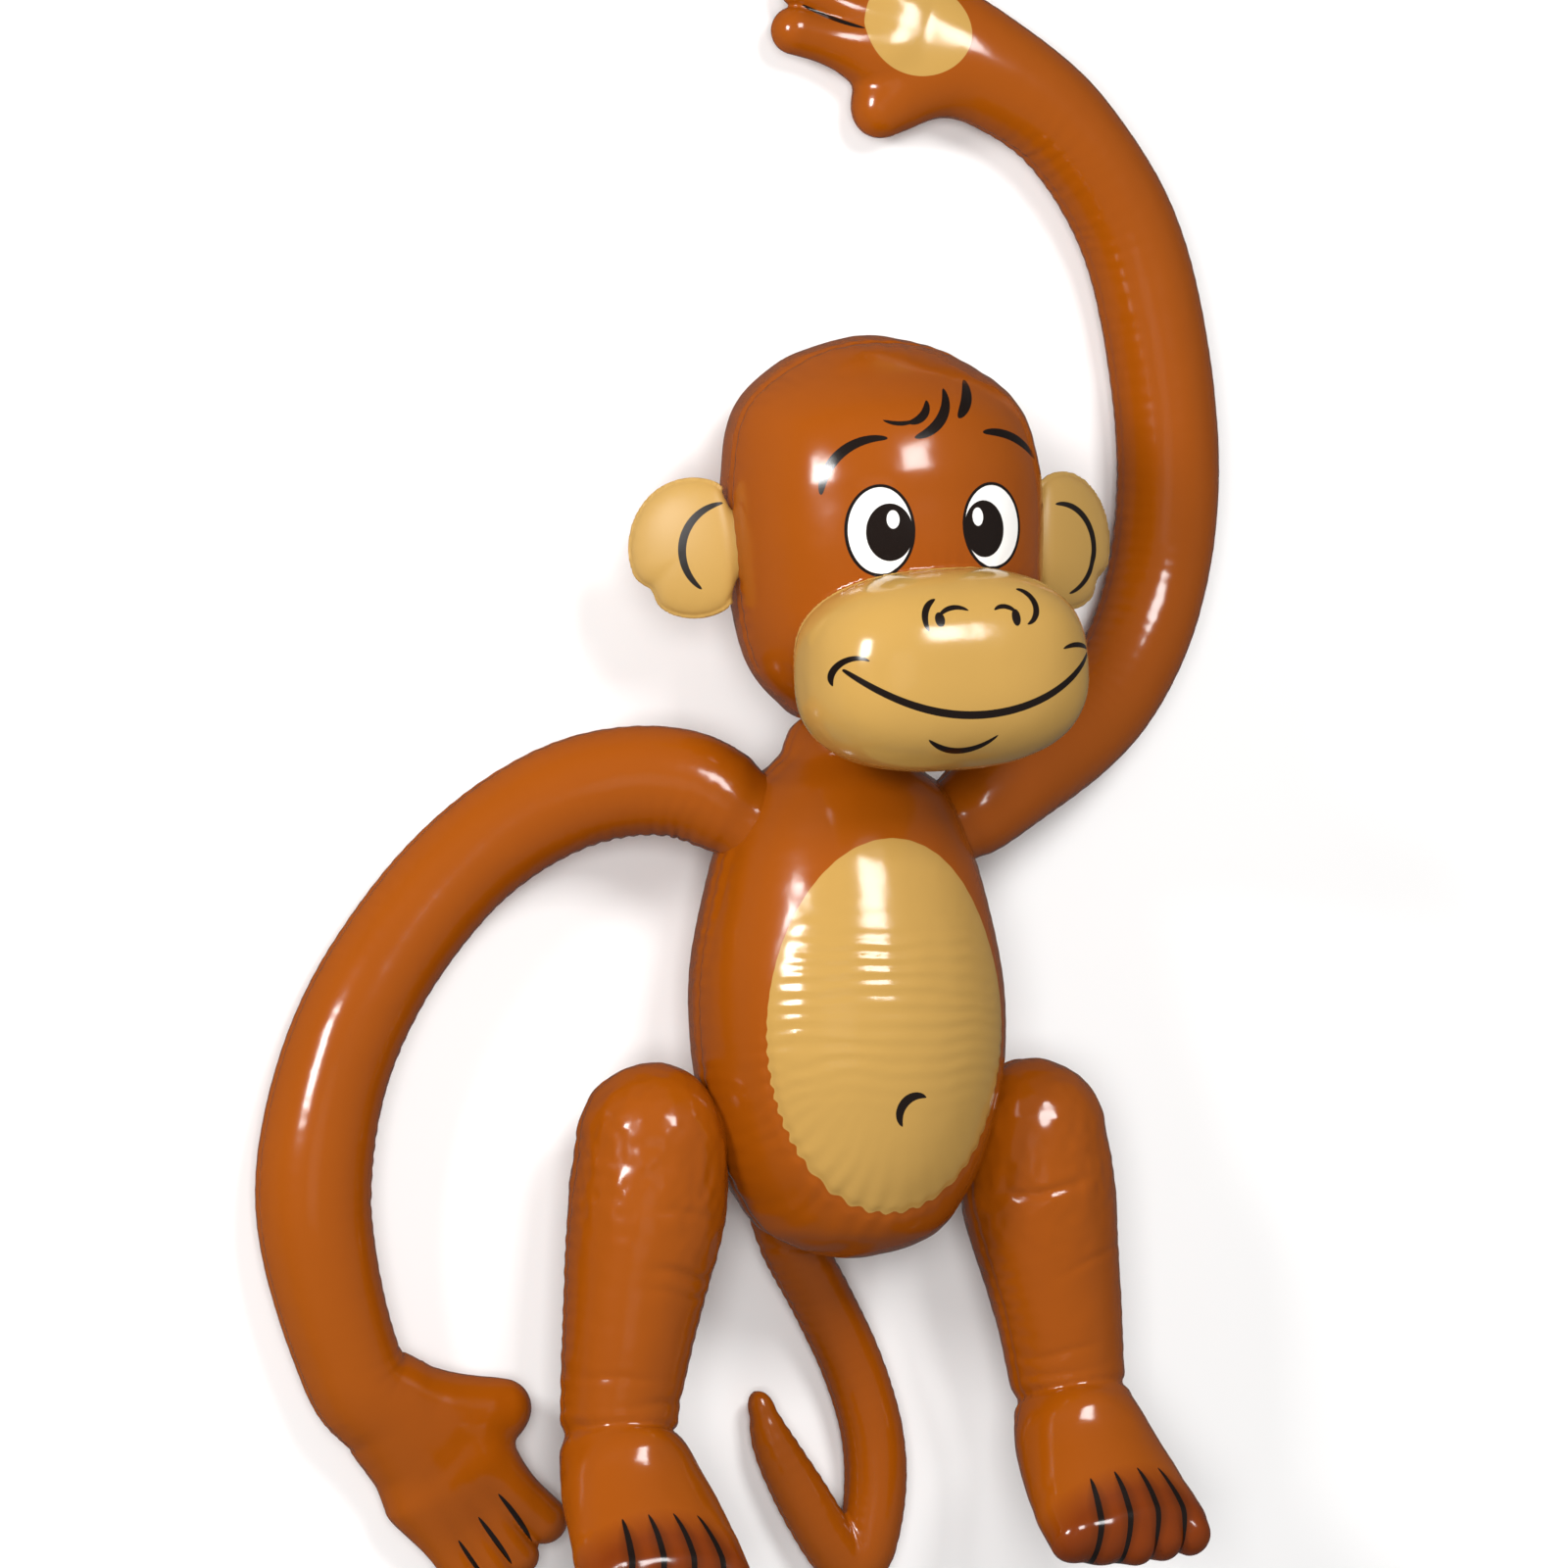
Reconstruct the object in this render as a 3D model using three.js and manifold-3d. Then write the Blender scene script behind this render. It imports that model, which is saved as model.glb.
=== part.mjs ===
// An inflatable toy monkey of welded vinyl film, as it lies loose on its back.
// Millimetres. +Z points up, out of the belly, +Y towards the head, and +X is the monkey's own left.
// The origin is the middle of the flat on which the torso rests.
// Each limb is an air-filled form of its own, welded to the torso or the head: one arm is thrown up
// over the head, the other hangs in a wide hook, and the tail curls back on itself.
import * as THREE from "three";
import { mergeVertices } from "three/addons/utils/BufferGeometryUtils.js";
import Module from "manifold-3d";

const wasm = await Module();
wasm.setup();

// Driving dimensions
const WELD_GAP = 0.3; // between two forms that are welded together
const FLOOR_PRESS = 1.5; // how far the torso and head flatten against the floor
const LIMB_PRESS = 0.6; // the same for an arm and the tail

const TORSO_LENGTH = 196;
const TORSO_WIDTH = 111;
const TORSO_DEPTH = 104;
const TORSO_BELOW_ORIGIN = 82; // from the origin down to the bottom of the torso

const HEAD_HEIGHT = 139.5;
const HEAD_WIDTH = 112;
const HEAD_DEPTH = 124;
const HEAD_OVERLAP = 16; // how far the neck stub runs up past the chin
const HEAD_SIDE_SHIFT = 9; // the head leans towards the raised arm
const HEAD_ROLL = 2.7; // degrees
const HEAD_TURN = 5; // degrees, towards its right

const MUZZLE_WIDTH = 99;
const MUZZLE_HEIGHT = 68.5;
const MUZZLE_DEPTH = 78;
const MUZZLE_FORWARD = 43; // from the middle of the head to the middle of the muzzle
const MUZZLE_UP = 22.5; // from the chin end of the head to the middle of the muzzle
const MUZZLE_SIDE = 4; // from the middle of the head towards its left
const MUZZLE_ROLL = 1; // degrees, on top of the head's
const MUZZLE_SQUARENESS = 2.6; // 2 is a plain ellipsoid, and more is squarer with a flatter front

const EAR_HEIGHT = 46.5;
const EAR_REACH = 35; // how far an ear stands out of the head
const EAR_THICKNESS = 12;
const EAR_SINK = 9; // how far its root runs into the head before the weld
const EAR_UP = 66.7; // from the chin end of the head to between the middles of the two ears
const EAR_UNEVEN = 1.3; // how far the right ear is above that and the left one below
const EAR_SWEEP = 28; // degrees that an ear leans back
const EAR_NOTCH = 2.6; // depth of the nick in the rim

const RAISED_ARM_LENGTH = 284; // from the shoulder to the palm, along the body
const LOWERED_ARM_LENGTH = 211;
const ARM_RADIUS = 19.5;
const SHOULDER_UP = 143; // from the bottom of the torso
const SHOULDER_INSET = 30; // from the widest side of the torso in to the root of the arm

const HAND_LENGTH = 47; // from the middle of the palm to that of the longest finger's tip
const FINGER_RADIUS = 7;
const THUMB_RADIUS = 8.2;

const LEG_LENGTH = 136; // from the hip to where the toes start, along the body
const LEG_RADIUS = 27;
const HIP_UP = 40; // from the bottom of the torso
const HIP_OUTSET = 15.5; // from the widest side of the torso out to the middle of the thigh
const HIP_BACK = 3; // behind the torso's widest line
const RIGHT_LEG_LONGER = 9; // the right leg hangs lower than the left one
const RIGHT_FOOT_INWARD = 6; // the right foot's end turns in towards the middle
const TOE_RADIUS = 6.6;
const TOE_SPREAD = 11.2;
const TOES = 5;
const TOE_BACK = 5; // from the end of the foot back to where the toes start
const TOE_LENGTH = 12;

const TAIL_LENGTH = 115; // from the bottom of the torso to the bend
const TAIL_RADIUS = 11;

const VALVE_FLANGE_RADIUS = 9;
const VALVE_STEM_RADIUS = 4.6;
const VALVE_CAP_RADIUS = 6.2;
const VALVE_STAND = 4.5; // how far the closed valve stands out of the film
const VALVE_RIM = 0.9; // of that, the edge of the flange
const VALVE_CAP_THICKNESS = 2;
const VALVE_ROOT = 14; // how far it runs into the chamber before the weld
const VALVE_UP = 92; // from the bottom of the torso
const VALVE_TURN = 47; // degrees round from straight back towards the left side

const FLOOR_REACH = 1000; // side of the block of floor that flattens what presses on it

// Where the forms sit, worked out from the sizes above
const TORSO_MIDDLE = TORSO_DEPTH / 2 - FLOOR_PRESS;
const NECK_TOP = TORSO_LENGTH - TORSO_BELOW_ORIGIN;
const CHIN = NECK_TOP - HEAD_OVERLAP;
const SKULL_BACK = 0.59; // share of the head's depth that lies behind its widest line
const HEAD_MIDDLE = HEAD_DEPTH * SKULL_BACK - FLOOR_PRESS;

// Profiles. Each row of a body is [height, half width, front, back, shift of the middle], in shares.
const TORSO_ROWS = [
  [0, 0, 0, 0, 0],
  [0.036, 0.5, 0.5, 0.5, 0],
  [0.116, 0.74, 0.74, 0.74, 0],
  [0.211, 0.885, 0.89, 0.88, 0],
  [0.35, 0.985, 1, 0.98, 0],
  [0.495, 1, 1, 1, 0],
  [0.634, 0.915, 0.9, 0.93, 0],
  [0.737, 0.81, 0.78, 0.83, 0],
  [0.825, 0.66, 0.64, 0.68, 0],
  [0.885, 0.43, 0.46, 0.48, 0],
  [0.94, 0.33, 0.38, 0.38, 0],
  [1, 0, 0, 0, 0],
];
const HEAD_ROWS = [
  [0, 0, 0, 0, -0.1],
  [0.05, 0.5, 0.5, 0.36, -0.08],
  [0.1, 0.69, 0.68, 0.5, -0.05],
  [0.18, 0.86, 0.84, 0.68, -0.02],
  [0.28, 0.94, 0.92, 0.84, 0],
  [0.44, 0.975, 1, 0.97, 0],
  [0.57, 0.99, 1, 1, 0],
  [0.67, 0.97, 0.985, 1, 0],
  [0.78, 0.92, 0.94, 0.92, -0.025],
  [0.86, 0.805, 0.81, 0.81, -0.06],
  [0.93, 0.585, 0.6, 0.61, -0.1],
  [0.97, 0.375, 0.39, 0.4, -0.12],
  [1, 0, 0, 0, -0.13],
];

// Routes. Each row of an arm is [x, y, lift, half width, half thickness]: x outwards and y towards the head
// in shares of the arm's length from its root, lift from 1 at the shoulder to 0 on the floor, and the rest
// shares of ARM_RADIUS.
const RAISED_ARM = [
  [0, 0, 1, 0.8, 0.8],
  [0.113, 0.06, 0.9, 0.87, 0.87],
  [0.292, 0.174, 0.3, 0.9, 0.9],
  [0.38, 0.324, 0, 0.93, 0.93],
  [0.396, 0.514, 0, 0.95, 0.95],
  [0.352, 0.746, 0, 0.93, 0.93],
  [0.257, 0.894, 0, 0.93, 0.93],
  [0.13, 0.977, 0, 1.08, 0.88],
  [0.053, 1, 0, 1.32, 0.76],
];
const LOWERED_ARM = [
  [0, 0, 1, 0.84, 0.84],
  [0.142, 0.097, 0.6, 0.97, 0.97],
  [0.322, 0.078, 0.16, 0.98, 0.98],
  [0.519, -0.057, 0, 0.95, 0.95],
  [0.694, -0.301, 0, 0.98, 0.98],
  [0.756, -0.578, 0, 1.02, 1.02],
  [0.69, -0.848, 0, 0.92, 0.92],
  [0.616, -0.927, 0, 1.04, 0.86],
  [0.531, -1, 0, 1.3, 0.76],
];
const ARM_ROOT_CAP = 0.41; // length of the rounded end, in shares of ARM_RADIUS
const PALM_CAP = 1.13;
const RAISED_HAND_TURN = 158; // degrees from +X to the way the fingers point
const LOWERED_HAND_TURN = -51.5;

// A finger is [where it starts, its side offset there, where its tip's centre is, its side offset there,
// share of FINGER_RADIUS]: along the hand and towards the thumb, in shares of HAND_LENGTH from the palm.
const FINGERS = [
  [0.26, 0.2, 0.91, 0.315, 1.22],
  [0.26, 0, 1, 0.015, 0.95],
  [0.26, -0.19, 0.98, -0.205, 0.92],
  [0.21, -0.37, 0.85, -0.415, 0.9],
];
const THUMB = [-0.24, 0.22, 0.06, 0.61];

// Each row of a leg is [x, y, z, half width, half thickness]: x outwards, y towards the head and z
// forwards from the hip, in shares of LEG_LENGTH, and the rest in shares of LEG_RADIUS.
const LEG_ROWS = [
  [0, 0, 0, 1, 1],
  [0.026, -0.191, 0.007, 1, 1],
  [0.074, -0.449, 0.015, 0.84, 0.84],
  [0.103, -0.662, 0.022, 0.76, 0.76],
  [0.107, -0.787, 0.096, 0.92, 0.76],
  [0.12, -0.919, 0.228, 1.07, 0.62],
  [0.136, -1, 0.316, 1.06, 0.48],
];
const ANKLE = 0.66; // share of the leg down to the ankle
const HEEL = 0.74; // share of it from which the right foot turns in
const FOOT_CAP = 0.33; // length of the rounded end, in shares of LEG_RADIUS

// Each row of the tail is [x, y, height over the floor rest, share of TAIL_RADIUS], from the middle of the
// bottom of the torso, in shares of TAIL_LENGTH.
const TAIL_ROWS = [
  [-0.209, 0.348, 0.183, 1],
  [-0.122, 0.087, 0.122, 1],
  [0.035, -0.148, 0.043, 1],
  [0.157, -0.357, 0, 1],
  [0.226, -0.565, 0, 1],
  [0.239, -0.748, 0, 1],
  [0.209, -0.922, 0, 0.98],
  [0.161, -1, 0, 0.9],
];
const TAIL_TIP_ROWS = [
  [0.148, -0.991, 0, 0.9],
  [0.07, -0.887, 0, 0.9],
  [-0.017, -0.748, 0, 0.85],
  [-0.1, -0.6, 0, 0.68],
  [-0.135, -0.504, 0, 0.44],
];
const TAIL_CAPS = { startCap: 0.73 * TAIL_RADIUS, endCap: 0.75 * TAIL_RADIUS };

const X = new THREE.Vector3(1, 0, 0);
const Y = new THREE.Vector3(0, 1, 0);
const Z = new THREE.Vector3(0, 0, 1);

// The row at s, from 0 at the first to 1 at the last, on a smooth curve through all of them.
function smoothRow(rows, s) {
  const last = rows.length - 1;
  const i = Math.min(Math.floor(s * last), last - 1);
  const t = s * last - i;
  const row = (k) => rows[Math.min(Math.max(k, 0), last)];
  return row(i).map((b, j) => {
    const [a, c, d] = [row(i - 1)[j], row(i + 1)[j], row(i + 2)[j]];
    const cubic = 3 * b - a - 3 * c + d;
    const square = 2 * a - 5 * b + 4 * c - d;
    return 0.5 * (2 * b + (c - a) * t + square * t ** 2 + cubic * t ** 3);
  });
}

// An oval ring of points. up and down are its half depths on either side of across.
function oval(centre, across, up, down, sides) {
  return Array.from({ length: sides }, (_, i) => {
    const turn = (2 * Math.PI * i) / sides;
    const depth = Math.sin(turn) > 0 ? up : down;
    return centre.clone().addScaledVector(across, Math.cos(turn)).addScaledVector(depth, Math.sin(turn));
  });
}

// A closed skin over rings of points that all have as many points, shut by one point at each end.
function skin(first, rings, last) {
  const sides = rings[0].length;
  const points = [first, ...rings.flat(), last];
  const faces = [];
  const at = (ring, i) => 1 + ring * sides + (i % sides);
  for (let i = 0; i < sides; i++) {
    faces.push([0, at(0, i + 1), at(0, i)]);
    for (let ring = 0; ring + 1 < rings.length; ring++) {
      faces.push([at(ring, i), at(ring, i + 1), at(ring + 1, i)]);
      faces.push([at(ring, i + 1), at(ring + 1, i + 1), at(ring + 1, i)]);
    }
    faces.push([at(rings.length - 1, i), at(rings.length - 1, i + 1), points.length - 1]);
  }
  const volume = faces.reduce((sum, [a, b, c]) => sum + points[a].dot(points[b].clone().cross(points[c])), 0);
  const outward = volume > 0 ? faces : faces.map(([a, b, c]) => [a, c, b]);
  return new THREE.BufferGeometry().setFromPoints(points).setIndex(outward.flat());
}

// A rounded body along Y from its rows of shares. Its widest line lies in the plane z = 0.
function bodyForm({ rows, length, width, front, back, grow, sides, steps }) {
  const flipped = ([y, half, up, down, shift]) => [y, -half, -up, -down, shift];
  const all = [flipped(rows[1]), ...rows, flipped(rows.at(-2))];
  const spans = all.length - 1;
  const rowAt = (k) => smoothRow(all, (1 + (k / steps) * (spans - 2)) / spans);
  const place = ([y, , , , shift]) => new THREE.Vector3(0, y * length, shift * (front + back));
  const rings = [];
  for (let k = 1; k < steps; k++) {
    const row = rowAt(k);
    const across = X.clone().multiplyScalar((row[1] * width) / 2 + grow);
    const up = Z.clone().multiplyScalar(row[2] * front + grow);
    const down = Z.clone().multiplyScalar(row[3] * back + grow);
    rings.push(oval(place(row), across, up, down, sides));
  }
  const low = place(rowAt(0)).addScaledVector(Y, -grow);
  const high = place(rowAt(steps)).addScaledVector(Y, grow);
  return skin(low, rings, high);
}

// A round-ended tube along rows of [x, y, z, half width, half thickness]. level is a direction that the
// width lies square to, so that a flat hand lies flat.
function tubeForm(rows, { level, sides, steps, startCap, endCap, capRings = 3 }) {
  const rings = [];
  const centreAt = (s) => new THREE.Vector3(...smoothRow(rows, s).slice(0, 3));
  const frameAt = (s) => {
    const step = 0.01;
    const [from, to] = [centreAt(Math.max(s - step, 0)), centreAt(Math.min(s + step, 1))];
    const along = to.sub(from).normalize();
    const across = level.clone().cross(along).normalize();
    return { along, across, through: along.clone().cross(across) };
  };
  const ringAt = (s, shift, shrink) => {
    const [half, thick] = smoothRow(rows, s).slice(3);
    const { along, across, through } = frameAt(s);
    const centre = centreAt(s).addScaledVector(along, shift);
    const depth = through.multiplyScalar(thick * shrink);
    return oval(centre, across.multiplyScalar(half * shrink), depth, depth, sides);
  };
  const tip = (s, shift) => centreAt(s).addScaledVector(frameAt(s).along, shift);
  const capRing = (s, reach, k) => {
    const angle = (k * Math.PI) / 2 / (capRings + 1);
    return ringAt(s, reach * Math.sin(angle), Math.cos(angle));
  };
  for (let k = capRings; k > 0; k--) rings.push(capRing(0, -startCap, k));
  for (let k = 0; k <= steps; k++) rings.push(ringAt(k / steps, 0, 1));
  for (let k = 1; k <= capRings; k++) rings.push(capRing(1, endCap, k));
  return skin(tip(0, -startCap), rings, tip(1, endCap));
}

// A puffed disc in the XY plane. rim gives its radius at an angle.
function pillowForm(rim, halfThickness, sides, steps) {
  const rings = [];
  for (let k = 1; k < steps; k++) {
    const climb = (k / steps - 0.5) * Math.PI;
    rings.push(
      Array.from({ length: sides }, (_, i) => {
        const turn = (2 * Math.PI * i) / sides;
        const reach = rim(turn) * Math.cos(climb);
        const height = halfThickness * Math.sin(climb);
        return new THREE.Vector3(reach * Math.cos(turn), reach * Math.sin(turn), height);
      }),
    );
  }
  return skin(Z.clone().multiplyScalar(-halfThickness), rings, Z.clone().multiplyScalar(halfThickness));
}

// Solids, which can be joined and cut

function solid(geometry, matrix = new THREE.Matrix4()) {
  const bare = new THREE.BufferGeometry().setIndex(geometry.index);
  bare.setAttribute("position", geometry.attributes.position.clone());
  const merged = mergeVertices(bare.applyMatrix4(matrix), 1e-3);
  const triVerts = new Uint32Array(merged.index.array);
  const vertProperties = merged.attributes.position.array;
  return new wasm.Manifold(new wasm.Mesh({ numProp: 3, vertProperties, triVerts }));
}

function geometryOf(made) {
  const mesh = made.getMesh();
  return new THREE.BufferGeometry()
    .setAttribute("position", new THREE.BufferAttribute(new Float32Array(mesh.vertProperties), 3))
    .setIndex(new THREE.BufferAttribute(mesh.triVerts, 1));
}

// One geometry from several that overlap.
function joined(...geometries) {
  return geometryOf(geometries.map((g) => solid(g)).reduce((sum, one) => sum.add(one)));
}

// The part of the space below the floor, which flattens whatever is pressed on it.
const floorBox = new THREE.BoxGeometry(FLOOR_REACH, FLOOR_REACH, FLOOR_REACH);
const floorBlock = solid(floorBox.translate(0, 0, -FLOOR_REACH / 2));

// Trims a mesh that is in its place back from solids given in the part's frame.
function trim(mesh, ...others) {
  mesh.updateWorldMatrix(true, false);
  const left = others.reduce((kept, other) => kept.subtract(other), solid(mesh.geometry, mesh.matrixWorld));
  mesh.geometry = geometryOf(left).applyMatrix4(mesh.matrixWorld.clone().invert());
}

// Finishes
const vinyl = (color, roughness) => new THREE.MeshStandardMaterial({ color, roughness, metalness: 0 });
const BROWN_VINYL = vinyl("#b4600f", 0.25);
const TAN_VINYL = vinyl("#d9ab5c", 0.25);
const CLEAR_VINYL = vinyl("#d8d8d2", 0.3);

function namedMesh(name, geometry, material) {
  const mesh = new THREE.Mesh(geometry, material);
  mesh.name = name;
  return mesh;
}

// Torso
function torsoGeometry(grow) {
  const half = TORSO_DEPTH / 2;
  const sizes = { rows: TORSO_ROWS, length: TORSO_LENGTH, width: TORSO_WIDTH, front: half, back: half };
  return bodyForm({ ...sizes, grow, sides: 26, steps: 17 });
}

function makeTorso(grow = 0) {
  const torso = namedMesh("torso", torsoGeometry(grow), BROWN_VINYL);
  torso.position.set(0, -TORSO_BELOW_ORIGIN, TORSO_MIDDLE);
  return torso;
}

// A unit sphere made squarer from every side.
function squared(sphere, exponent) {
  const place = sphere.attributes.position;
  for (let i = 0; i < place.count; i++) {
    const point = [place.getX(i), place.getY(i), place.getZ(i)];
    const size = point.reduce((sum, value) => sum + Math.abs(value) ** exponent, 0) ** (1 / exponent);
    place.setXYZ(i, ...point.map((value) => value / size));
  }
  return sphere;
}

// Head, with the muzzle as one form
function headGeometry(grow) {
  const front = HEAD_DEPTH * (1 - SKULL_BACK);
  const back = HEAD_DEPTH * SKULL_BACK;
  const sizes = { rows: HEAD_ROWS, length: HEAD_HEIGHT, width: HEAD_WIDTH, front, back };
  const skull = bodyForm({ ...sizes, grow, sides: 28, steps: 18 });
  const muzzle = squared(new THREE.SphereGeometry(1, 24, 14), MUZZLE_SQUARENESS)
    .scale(MUZZLE_WIDTH / 2 + grow, MUZZLE_HEIGHT / 2 + grow, MUZZLE_DEPTH / 2 + grow)
    .rotateZ(THREE.MathUtils.degToRad(MUZZLE_ROLL))
    .translate(MUZZLE_SIDE, MUZZLE_UP, MUZZLE_FORWARD);
  return joined(skull, muzzle);
}

function placeHead(group) {
  group.position.set(HEAD_SIDE_SHIFT, CHIN, HEAD_MIDDLE);
  group.rotation.set(0, -THREE.MathUtils.degToRad(HEAD_TURN), THREE.MathUtils.degToRad(HEAD_ROLL), "ZYX");
  return group;
}

// An ear, whose local +X stands out of the head and +Y points up.
function earGeometry() {
  const reach = (EAR_REACH + EAR_SINK) / 2;
  const rim = (turn) => {
    const half = EAR_HEIGHT / 2;
    const oval = (reach * half) / Math.hypot(half * Math.cos(turn), reach * Math.sin(turn));
    const fromNotch = Math.atan2(Math.sin(turn + 0.72), Math.cos(turn + 0.72));
    return oval - EAR_NOTCH * Math.exp(-((fromNotch / 0.2) ** 2));
  };
  return pillowForm(rim, EAR_THICKNESS / 2, 28, 7).translate(reach - EAR_SINK, 0, 0);
}

function makeEar(name, side) {
  const ear = namedMesh(name, earGeometry(), TAN_VINYL);
  ear.position.set((side * HEAD_WIDTH) / 2, EAR_UP - side * EAR_UNEVEN, 0);
  const sweep = THREE.MathUtils.degToRad(EAR_SWEEP);
  ear.rotation.y = side > 0 ? sweep : Math.PI - sweep;
  return ear;
}

// Arms. side is 1 for the monkey's left and -1 for its right.
function armGeometry(rows, length, side, handTurn) {
  const shoulderHeight = TORSO_MIDDLE;
  const route = rows.map(([x, y, lift, half, thick]) => {
    const rest = thick * ARM_RADIUS - LIMB_PRESS;
    const height = rest + lift * (shoulderHeight - rest);
    return [side * x * length, y * length, height, half * ARM_RADIUS, thick * ARM_RADIUS];
  });
  const caps = { startCap: ARM_ROOT_CAP * ARM_RADIUS, endCap: PALM_CAP * ARM_RADIUS };
  const shape = { level: Z, sides: 14, steps: 3 * (rows.length - 1), ...caps };
  const palm = new THREE.Vector3(...route.at(-1).slice(0, 3));
  const turn = THREE.MathUtils.degToRad(handTurn);
  const along = new THREE.Vector3(Math.cos(turn), Math.sin(turn), 0);
  const toThumb = new THREE.Vector3(-along.y, along.x, 0);
  const inHand = (f, g) => {
    const forward = palm.clone().addScaledVector(along, f * HAND_LENGTH);
    return forward.addScaledVector(toThumb, g * HAND_LENGTH);
  };
  const digit = ([f0, g0, f1, g1, share], radius) => {
    const r = radius * share;
    const ends = [inHand(f0, g0), inHand(f1, g1)].map((p) => [p.x, p.y, p.z, r, r]);
    return tubeForm(ends, { level: Z, sides: 8, steps: 1, startCap: r, endCap: r, capRings: 2 });
  };
  const fingers = FINGERS.map((finger) => digit(finger, FINGER_RADIUS));
  const thumb = digit([...THUMB, 1], THUMB_RADIUS);
  return joined(tubeForm(route, shape), ...fingers, thumb);
}

function makeArm(name, rows, length, side, handTurn) {
  const arm = namedMesh(name, armGeometry(rows, length, side, handTurn), BROWN_VINYL);
  arm.position.set(side * (TORSO_WIDTH / 2 - SHOULDER_INSET), SHOULDER_UP - TORSO_BELOW_ORIGIN, 0);
  return arm;
}

// Legs, each with a foot and its toes
function legGeometry(side, longer, footInward) {
  const route = LEG_ROWS.map(([x, y, z, half, thick]) => {
    const outward = x * LEG_LENGTH - footInward * Math.max(0, (-y - HEEL) / (1 - HEEL));
    const down = y * LEG_LENGTH - longer * Math.min(1, -y / ANKLE);
    return [side * outward, down, z * LEG_LENGTH, half * LEG_RADIUS, thick * LEG_RADIUS];
  });
  const caps = { startCap: LEG_RADIUS, endCap: FOOT_CAP * LEG_RADIUS };
  const leg = tubeForm(route, { level: Z.clone().add(Y), sides: 16, steps: 14, ...caps });
  const [end, before] = [new THREE.Vector3(...route.at(-1)), new THREE.Vector3(...route.at(-2))];
  const along = end.clone().sub(before).normalize();
  const toes = Array.from({ length: TOES }, (_, i) => {
    const aside = (i - (TOES - 1) / 2) * TOE_SPREAD;
    const shorter = Math.abs(aside) * 0.16;
    const from = end.clone().addScaledVector(along, -TOE_BACK - shorter).addScaledVector(X, aside * 0.92);
    const to = from.clone().addScaledVector(along, TOE_LENGTH).addScaledVector(X, aside * 0.08);
    const ends = [from, to].map((p) => [p.x, p.y, p.z, TOE_RADIUS, TOE_RADIUS * 1.2]);
    const round = { startCap: TOE_RADIUS, endCap: TOE_RADIUS, capRings: 2 };
    return tubeForm(ends, { level: Z.clone().add(Y), sides: 8, steps: 1, ...round });
  });
  return joined(leg, ...toes);
}

function makeLeg(name, side, longer, footInward) {
  const leg = namedMesh(name, legGeometry(side, longer, footInward), BROWN_VINYL);
  const outward = side * (TORSO_WIDTH / 2 + HIP_OUTSET);
  leg.position.set(outward, HIP_UP - TORSO_BELOW_ORIGIN, TORSO_MIDDLE - HIP_BACK);
  return leg;
}

// Tail, whose last stretch is welded back against the first
function makeTail() {
  const route = (rows) =>
    rows.map(([x, y, over, share]) => {
      const place = [x, y, over].map((value) => value * TAIL_LENGTH);
      return [...place, share * TAIL_RADIUS, share * TAIL_RADIUS];
    });
  const shape = { level: Z, sides: 10, ...TAIL_CAPS };
  const stem = tubeForm(route(TAIL_ROWS), { ...shape, steps: 15 });
  const tip = tubeForm(route(TAIL_TIP_ROWS), { ...shape, steps: 8 });
  const tail = namedMesh("tail", joined(stem, tip), BROWN_VINYL);
  tail.position.set(0, -TORSO_BELOW_ORIGIN, TAIL_RADIUS - LIMB_PRESS);
  return tail;
}

// Inflation valve on the back, closed and pushed in. Its local +Y points out of the film.
function makeValve() {
  const capFoot = VALVE_STAND - VALVE_CAP_THICKNESS;
  const bevel = VALVE_CAP_THICKNESS / 4;
  const profile = [
    [0, -VALVE_ROOT],
    [VALVE_FLANGE_RADIUS, -VALVE_ROOT],
    [VALVE_FLANGE_RADIUS, VALVE_RIM],
    [VALVE_STEM_RADIUS, VALVE_RIM],
    [VALVE_STEM_RADIUS, capFoot],
    [VALVE_CAP_RADIUS, capFoot],
    [VALVE_CAP_RADIUS, VALVE_STAND - bevel],
    [VALVE_CAP_RADIUS - bevel, VALVE_STAND],
    [0, VALVE_STAND],
  ].map(([r, y]) => new THREE.Vector2(r, y));
  const valve = namedMesh("valve", new THREE.LatheGeometry(profile, 20), CLEAR_VINYL);
  const turn = THREE.MathUtils.degToRad(VALVE_TURN);
  const [aside, backward] = [Math.sin(turn), -Math.cos(turn)];
  const outward = new THREE.Vector3(aside / TORSO_WIDTH, 0, backward / TORSO_DEPTH).normalize();
  const up = VALVE_UP - TORSO_BELOW_ORIGIN;
  valve.position.set((aside * TORSO_WIDTH) / 2, up, TORSO_MIDDLE + (backward * TORSO_DEPTH) / 2);
  valve.quaternion.setFromUnitVectors(Y, outward);
  return valve;
}

// A mesh's solid in the part's frame.
function placedSolid(mesh) {
  mesh.updateWorldMatrix(true, false);
  return solid(mesh.geometry, mesh.matrixWorld);
}

const figure = new THREE.Group();
const headGroup = placeHead(new THREE.Group());
figure.add(headGroup);

const head = namedMesh("head", headGeometry(0), BROWN_VINYL);
const torso = makeTorso();
const ears = [makeEar("right_ear", -1), makeEar("left_ear", 1)];
const limbs = [
  makeArm("left_arm", RAISED_ARM, RAISED_ARM_LENGTH, 1, RAISED_HAND_TURN),
  makeArm("right_arm", LOWERED_ARM, LOWERED_ARM_LENGTH, -1, LOWERED_HAND_TURN),
  makeLeg("left_leg", 1, 0, 0),
  makeLeg("right_leg", -1, RIGHT_LEG_LONGER, RIGHT_FOOT_INWARD),
  makeTail(),
  makeValve(),
];
headGroup.add(head, ...ears);
figure.add(torso, ...limbs);

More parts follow.
